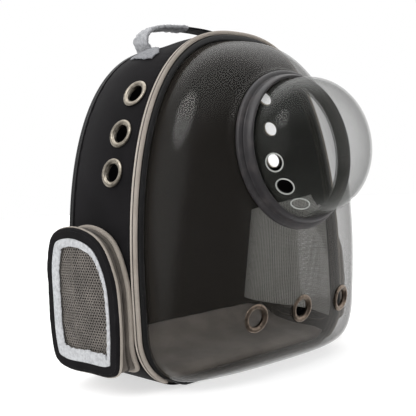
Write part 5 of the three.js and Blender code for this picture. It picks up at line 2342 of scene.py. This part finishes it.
@dataclass
class CarryHandle:
    """The webbing loop on top, with a crumpled pale sleeve on its left half and a pale patch."""

    finishes: Finishes
    body: ClothBody
    setback: float = 0.090
    half_span: float = 0.072
    rise: float = 0.022
    width: float = 0.026
    thickness: float = 0.003
    sleeve_end: float = 0.47
    sleeve_wider: float = 0.0022
    sleeve_thicker: float = 0.0026
    patch_face: float = 0.0026
    patch_back: float = 0.0012
    route: tuple[tuple[float, float], ...] = (
        (0.96, -0.75), (1.06, 0.05), (0.9, 0.64), (0.52, 0.92), (0.0, 1.0))
    patch_rear: tuple[tuple[float, float], ...] = ((-0.096, 0.090), (-0.105, 0.049), (-0.105, 0.034))
    patch_front: tuple[tuple[float, float], ...] = (
        (-0.0865, 0.089), (-0.0756, 0.081), (-0.062, 0.095), (-0.084, 0.047), (-0.0955, 0.033))

    def path(self, count: int) -> Array:
        """The loop from root to root, where it stands clear of the body.

        Args:
            count: number of points.

        Returns:
            Rows of points.
        """
        y = DEPTH.wall_front + self.setback
        half = [(-self.half_span * a, y, OUTLINE.height + self.rise * u) for a, u in self.route]
        knots = np.array(half + [(-x, y, z) for x, y, z in half[-2::-1]])
        curve = respaced(flowing(knots, 40, False), 900)
        clear = curve[:, 2] > OUTLINE.top_at(curve[:, 0]) - 0.0008
        first, last = np.flatnonzero(clear)[[0, -1]]
        return respaced(placed(curve[first:last + 1]), count)

    def build(self) -> None:
        """The webbing, its sleeve and the patch."""
        path = self.path(170)
        webbing = ribbon("handle_webbing", path, INWARDS, softbox_loop(self.width, self.thickness, 5.0, 28))
        settle(webbing, self.finishes.webbing, "webbing", "carry_handle")
        covered = self.path(400)[: int(400 * self.sleeve_end)]
        loop = softbox_loop(self.width + self.sleeve_wider, self.thickness + self.sleeve_thicker, 4.0, 48)

        def crumpled(run: Array) -> Array:
            """The sleeve's section at each distance, dented by two slanting ripples and hemmed at its end.

            Args:
                run: distance along the loop.

            Returns:
                Array (points, section, 2).
            """
            size = runs(loop, closed=True)[:-1]
            dent = 0.0006 * ripple(run[:, None] + 0.4 * size[None], 0.009, 1.0) \
                + 0.0005 * ripple(run[:, None] - 0.7 * size[None], 0.017, 2.0)
            hem = 0.0005 * np.exp(-((run[-1] - run) / 0.0025) ** 2)[:, None]
            return loop[None] * (1 + ((dent + hem) / (self.width / 2))[..., None] * np.array([0.7, 5.0]))

        sleeve = ribbon("handle_wrap", covered, INWARDS, crumpled)
        settle(sleeve, self.finishes.worn_felt, "pale_felt", "handle_sleeve")
        self.build_patch()

    def build_patch(self) -> None:
        """The patch that lies on the wall at the left root: ruled between its rear and front edges."""
        t = np.linspace(0, 1, 60)
        rear, front = (respaced(np.array(edge), 60) for edge in (self.patch_rear, self.patch_front))
        across = np.linspace(0, 1, 24)
        flat = rear[:, None] * (1 - across[None, :, None]) + front[:, None] * across[None, :, None]
        x, y = flat[..., 0], flat[..., 1]
        z = OUTLINE.top_at(x)
        slope = (OUTLINE.top_at(x + 0.0005) - OUTLINE.top_at(x - 0.0005)) / 0.001
        normal = unit(np.stack([-slope, np.zeros_like(x), np.ones_like(x)], axis=-1))
        push = self.body.bulge_at(z, y) - self.body.inset
        crumple = 0.0007 * ripple(x + 0.6 * y, 0.014, 1.0) + 0.0005 * ripple(y, 0.02, 2.0)
        base = np.stack([x, y, z], axis=-1)
        outer = placed(base + normal * (push + self.patch_face + crumple)[..., None])
        inner = placed(base + normal * (push + self.patch_back + 0.5 * crumple)[..., None])
        patch = walled("handle_patch", outer, inner, across * 0.02, t * 0.06)
        settle(patch, self.finishes.patch_felt, "pale_felt")


@dataclass
class ShoulderStrap:
    """A padded strap on the back, with thinned, stitched edges, and the webbing that runs down from it."""

    finishes: Finishes
    side: Side
    width: float = 0.058
    thickness: float = 0.010
    top: float = 0.372
    bottom: float = 0.118
    top_x: float = 0.050
    bottom_x: float = 0.102
    reach: float = 0.036
    end_taper: float = 0.018
    ridge_pitch: float = 0.046
    stitch_inset: float = 0.006
    webbing_width: float = 0.025
    webbing_thickness: float = 0.002
    webbing_bottom: float = 0.040
    webbing_bottom_x: float = 0.118
    route: tuple[tuple[float, float, float], ...] = (
        (0.0, 0.0, -0.15), (0.04, 0.02, 0.55), (0.2, 0.12, 1.0), (0.5, 0.42, 1.0), (0.8, 0.8, 0.7),
        (1.0, 1.0, 0.45))

    def knots(self) -> Array:
        """The strap's route as points: down, spread and reach as shares of its named sizes.

        Returns:
            Rows of points, in flange depths.
        """
        start = DEPTH.back_rear + 0.0003
        return np.array([(self.side.value * (self.top_x + (self.bottom_x - self.top_x) * spread),
                          start + self.reach * reach, self.top + (self.bottom - self.top) * down)
                         for down, spread, reach in self.route])

    def build(self) -> None:
        """The pad with its thinned edges and stitching, and the webbing."""
        curve = respaced(flowing(self.knots(), 30, False), 600)
        clear = np.flatnonzero(curve[:, 1] > DEPTH.back_rear + 0.0015)[0]
        path = respaced(placed(curve[clear:]), 150)
        axis = np.array([1.0, 0.0, 0.0])
        loop = softbox_loop(self.width - 0.001, 1.0, 2.6, 44)

        def padded(run: Array) -> Array:
            """The strap's section at each distance: thin at its ends and edges, with cross ridges.

            Args:
                run: distance along the strap.

            Returns:
                Array (points, section, 2).
            """
            ends = smooth(run, 0, self.end_taper) * smooth(run[-1] - run, 0, self.end_taper)
            ridge = np.abs(np.sin(math.pi * run / self.ridge_pitch)) ** 0.35
            thick = self.thickness * (0.42 + 0.5 * ends * (0.8 + 0.2 * ridge))
            edge = np.clip((np.abs(loop[:, 0]) / (self.width / 2) - 0.86) / 0.14, 0, 1)
            height = loop[:, 1][None] * thick[:, None] * (1 - 0.45 * edge[None])
            return np.stack([np.broadcast_to(loop[:, 0], height.shape), height], axis=-1)

        pad = ribbon(f"shoulder_pad_{self.side.word}", path, axis, padded)
        settle(pad, self.finishes.lining, "shell_cloth", f"shoulder_strap_{self.side.word}")
        across, normal = squared(path, axis)
        rows = []
        for shift in (-1, 1):
            edge = path + across * shift * (self.width / 2 - self.stitch_inset)
            for face in (-1, 1):
                size = Stitch(0.0035, 0.0024, 0.0006, self.thickness * 0.36)
                rows.append(stitch_row(edge, normal * face, size))
        settle(stitches(f"shoulder_stitching_{self.side.word}", rows), self.finishes.thread, "shell_cloth")
        knots = self.knots()
        end, run = knots[-1], unit(knots[-1] - knots[-2])
        foot = np.array([self.side.value * self.webbing_bottom_x,
                         DEPTH.back_rear + 0.0003 + self.webbing_thickness / 2, self.webbing_bottom])
        above = foot.copy()
        above[2] = self.webbing_bottom + (self.bottom - self.webbing_bottom) * 0.3
        route = np.array([end - run * 0.004, end + run * self.width / 2, above, foot])
        line = placed(respaced(flowing(route, 30, False), 90))
        webbing = ribbon(f"strap_web_{self.side.word}", line, axis,
                         softbox_loop(self.webbing_width, self.webbing_thickness, 5.0, 24))
        settle(webbing, self.finishes.webbing, "webbing", f"strap_webbing_{self.side.word}")


@dataclass
class InnerGauze:
    """The slack net over the right window, gathered inwards towards its lower rear corner."""

    finishes: Finishes
    front: float = 0.0105
    rear: float = 0.1185
    wall_gap: float = 0.0055
    top_front: float = 0.214
    top_rear: float = 0.190
    bottom_front: float = 0.034
    bottom_rear: float = 0.062
    rear_top_x: float = 0.130
    rear_bottom_x: float = 0.104
    pleat: float = 0.0026
    pleat_pitch: float = 0.024
    thickness: float = 0.0004

    def build(self) -> None:
        """The sheet: between the front frame and the back panel, with pleats that hang down it."""
        down = np.linspace(0, 1, 100)[:, None]
        back = np.linspace(0, 1, 90)[None]
        top = self.top_front + (self.top_rear - self.top_front) * back
        bottom = self.bottom_front + (self.bottom_rear - self.bottom_front) * back ** 1.3
        z = top + (bottom - top) * down
        y = self.front + (self.rear - self.front) * back + 0 * down
        wall = OUTLINE.width_at(z) - self.wall_gap
        rear = self.rear_top_x + (self.rear_bottom_x - self.rear_top_x) * down
        slack = smooth(back, 0.12, 1.0) ** 1.4
        pleat = self.pleat * ripple(y + 0.22 * z, self.pleat_pitch, 2.0) \
            * np.sin(math.pi * back) * (0.4 + 0.6 * down)
        x = wall * (1 - slack) + rear * slack - 0.001 - np.abs(pleat)
        outer = placed(np.stack([x, y, z], axis=-1))
        inner = outer - np.array([self.thickness, 0.0, 0.0])
        u, v = np.linspace(0, 0.13, 90), np.linspace(0, 0.17, 100)
        sheet = walled("inner_gauze", outer, inner, u, v)
        settle(sheet, self.finishes.gauze, "mesh_cloth")


# Studio


@dataclass(frozen=True)
class Lobe:
    """A soft patch of light in the world, round a direction.

    Its edge runs from the cosine outer, where it starts, to the cosine inner, where it is full.
    """

    towards: tuple[float, float, float]
    outer: float
    inner: float
    strength: float


@dataclass
class Studio:
    """Pale floor, a world of soft lobes and the camera at the photograph's angle."""

    place: tuple[float, float, float] = (-0.6378, -0.6478, 0.2303)
    heading: float = math.radians(41.55)
    pitch: float = math.radians(-1.81)
    roll: float = math.radians(-3.39)
    lens: float = 62.2
    dim: float = 0.13
    backdrop: Lobe = Lobe((0.66, 0.75, 0.0), -0.15, 0.35, 1.0)
    lobes: tuple[Lobe, ...] = (
        Lobe((0.0, 0.0, 1.0), 0.45, 0.95, 1.2),
        Lobe((-0.72, -0.03, 0.715), 0.95, 0.985, 3.6),
        Lobe((-0.95, 0.05, 0.3), 0.75, 0.97, 0.8),
        Lobe((0.55, -0.8, 0.25), 0.82, 0.98, 0.7),
    )

    def camera(self) -> None:
        """The camera: heading from +Y towards +X, then pitch, then roll."""
        data = bpy.data.cameras.new("camera")
        data.lens, data.sensor_width = self.lens, 36.0
        made = bpy.data.objects.new("camera", data)
        bpy.context.scene.collection.objects.link(made)
        forward = Vector((math.sin(self.heading) * math.cos(self.pitch),
                          math.cos(self.heading) * math.cos(self.pitch), math.sin(self.pitch)))
        level = forward.cross(Vector((0, 0, 1))).normalized()
        upright = level.cross(forward)
        right = level * math.cos(self.roll) + upright * math.sin(self.roll)
        up = upright * math.cos(self.roll) - level * math.sin(self.roll)
        turn = Matrix((right, up, -forward)).transposed()
        made.matrix_world = Matrix.Translation(placed(np.array(self.place))) @ turn.to_4x4()
        bpy.context.scene.camera = made

    def light(self) -> None:
        """The world: dim all round, white behind the object, and brighter by each lobe."""
        world = bpy.data.worlds.new("studio")
        bpy.context.scene.world = world
        graph = Graph(world)
        way = graph.node("ShaderNodeTexCoord").outputs["Generated"]
        split = graph.node("ShaderNodeSeparateXYZ", {}, {0: way})
        axes = [Value(graph, socket) for socket in split.outputs]

        def share(lobe: Lobe) -> Value:
            """How far a direction is inside a lobe, from 0 to 1.

            Args:
                lobe: the lobe.

            Returns:
                The share.
            """
            aim = unit(np.array(lobe.towards))
            return sum((axis * float(a) for axis, a in zip(axes[1:], aim[1:])), axes[0] * float(aim[0])
                       ).between(lobe.outer, lobe.inner)

        level = share(self.backdrop) * (self.backdrop.strength - self.dim) + self.dim
        for lobe in self.lobes:
            level = level + share(lobe) * lobe.strength
        shade = graph.node("ShaderNodeBackground", {}, {"Color": (1.0, 1.0, 1.0, 1.0), "Strength": level})
        graph.node("ShaderNodeOutputWorld", {}, {"Surface": shade.outputs[0]})

    def build(self) -> None:
        """World, floor and camera."""
        self.light()
        floor = new_object("floor", np.array([(-6, -6, 0), (6, -6, 0), (6, 6, 0), (-6, 6, 0)], float)
                           - np.array([0, 0, 0.0004]), [[0, 1, 2, 3]])
        graph = Graph.of("pale_floor")
        floor.data.materials.append(graph.surface(
            base_color=(0.6, 0.6, 0.6), roughness=0.9, specular_ior_level=0.0,
            emission_color=(1.0, 1.0, 1.0), emission_strength=0.62))
        floor.visible_glossy = False
        scene = bpy.context.scene
        scene.view_settings.view_transform = "Standard"
        scene.cycles.transparent_max_bounces = 32
        self.camera()


def corners(box: Sequence[Any]) -> list[list[float]]:
    """A box's two corners as plain lists of numbers."""
    return [[round(float(v), 6) for v in corner] for corner in box]


def main() -> None:
    """Builds every sub-assembly in order."""
    logging.basicConfig(level=logging.INFO, format="%(message)s")
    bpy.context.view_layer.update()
    Studio().build()
    finishes = Finishes()
    body = ClothBody(finishes)
    bays = [SideBay(finishes, side) for side in Side]
    body.build(lambda points: bays[0].window(points) | bays[1].window(points))
    body.seam_stitches()
    PaddedBack(finishes).build()
    FloorPad(finishes).build()
    porthole = Porthole(finishes)
    porthole.build_ring()
    porthole.build_dome()
    porthole.build_vent_rims()
    front = ClearFront(finishes, porthole)
    front.build()
    edge = FrontEdge(finishes, front)
    edge.build_rim()
    edge.build_cords()
    edge.build_zip()
    eyelets = Eyelets(finishes)
    eyelets.build(front.spots(), [f"eyelet_front_{i}" for i in (1, 2, 3)], finishes.bronze)
    names = [f"eyelet_{side.word}_{i}" for side in Side for i in (1, 2, 3)]
    eyelets.build(body.spots(), names, finishes.nickel)
    for bay in bays:
        bay.build()
    CarryHandle(finishes, body).build()
    for side in Side:
        ShoulderStrap(finishes, side).build()
    InnerGauze(finishes).build()


if __name__ == "__main__":
    main()
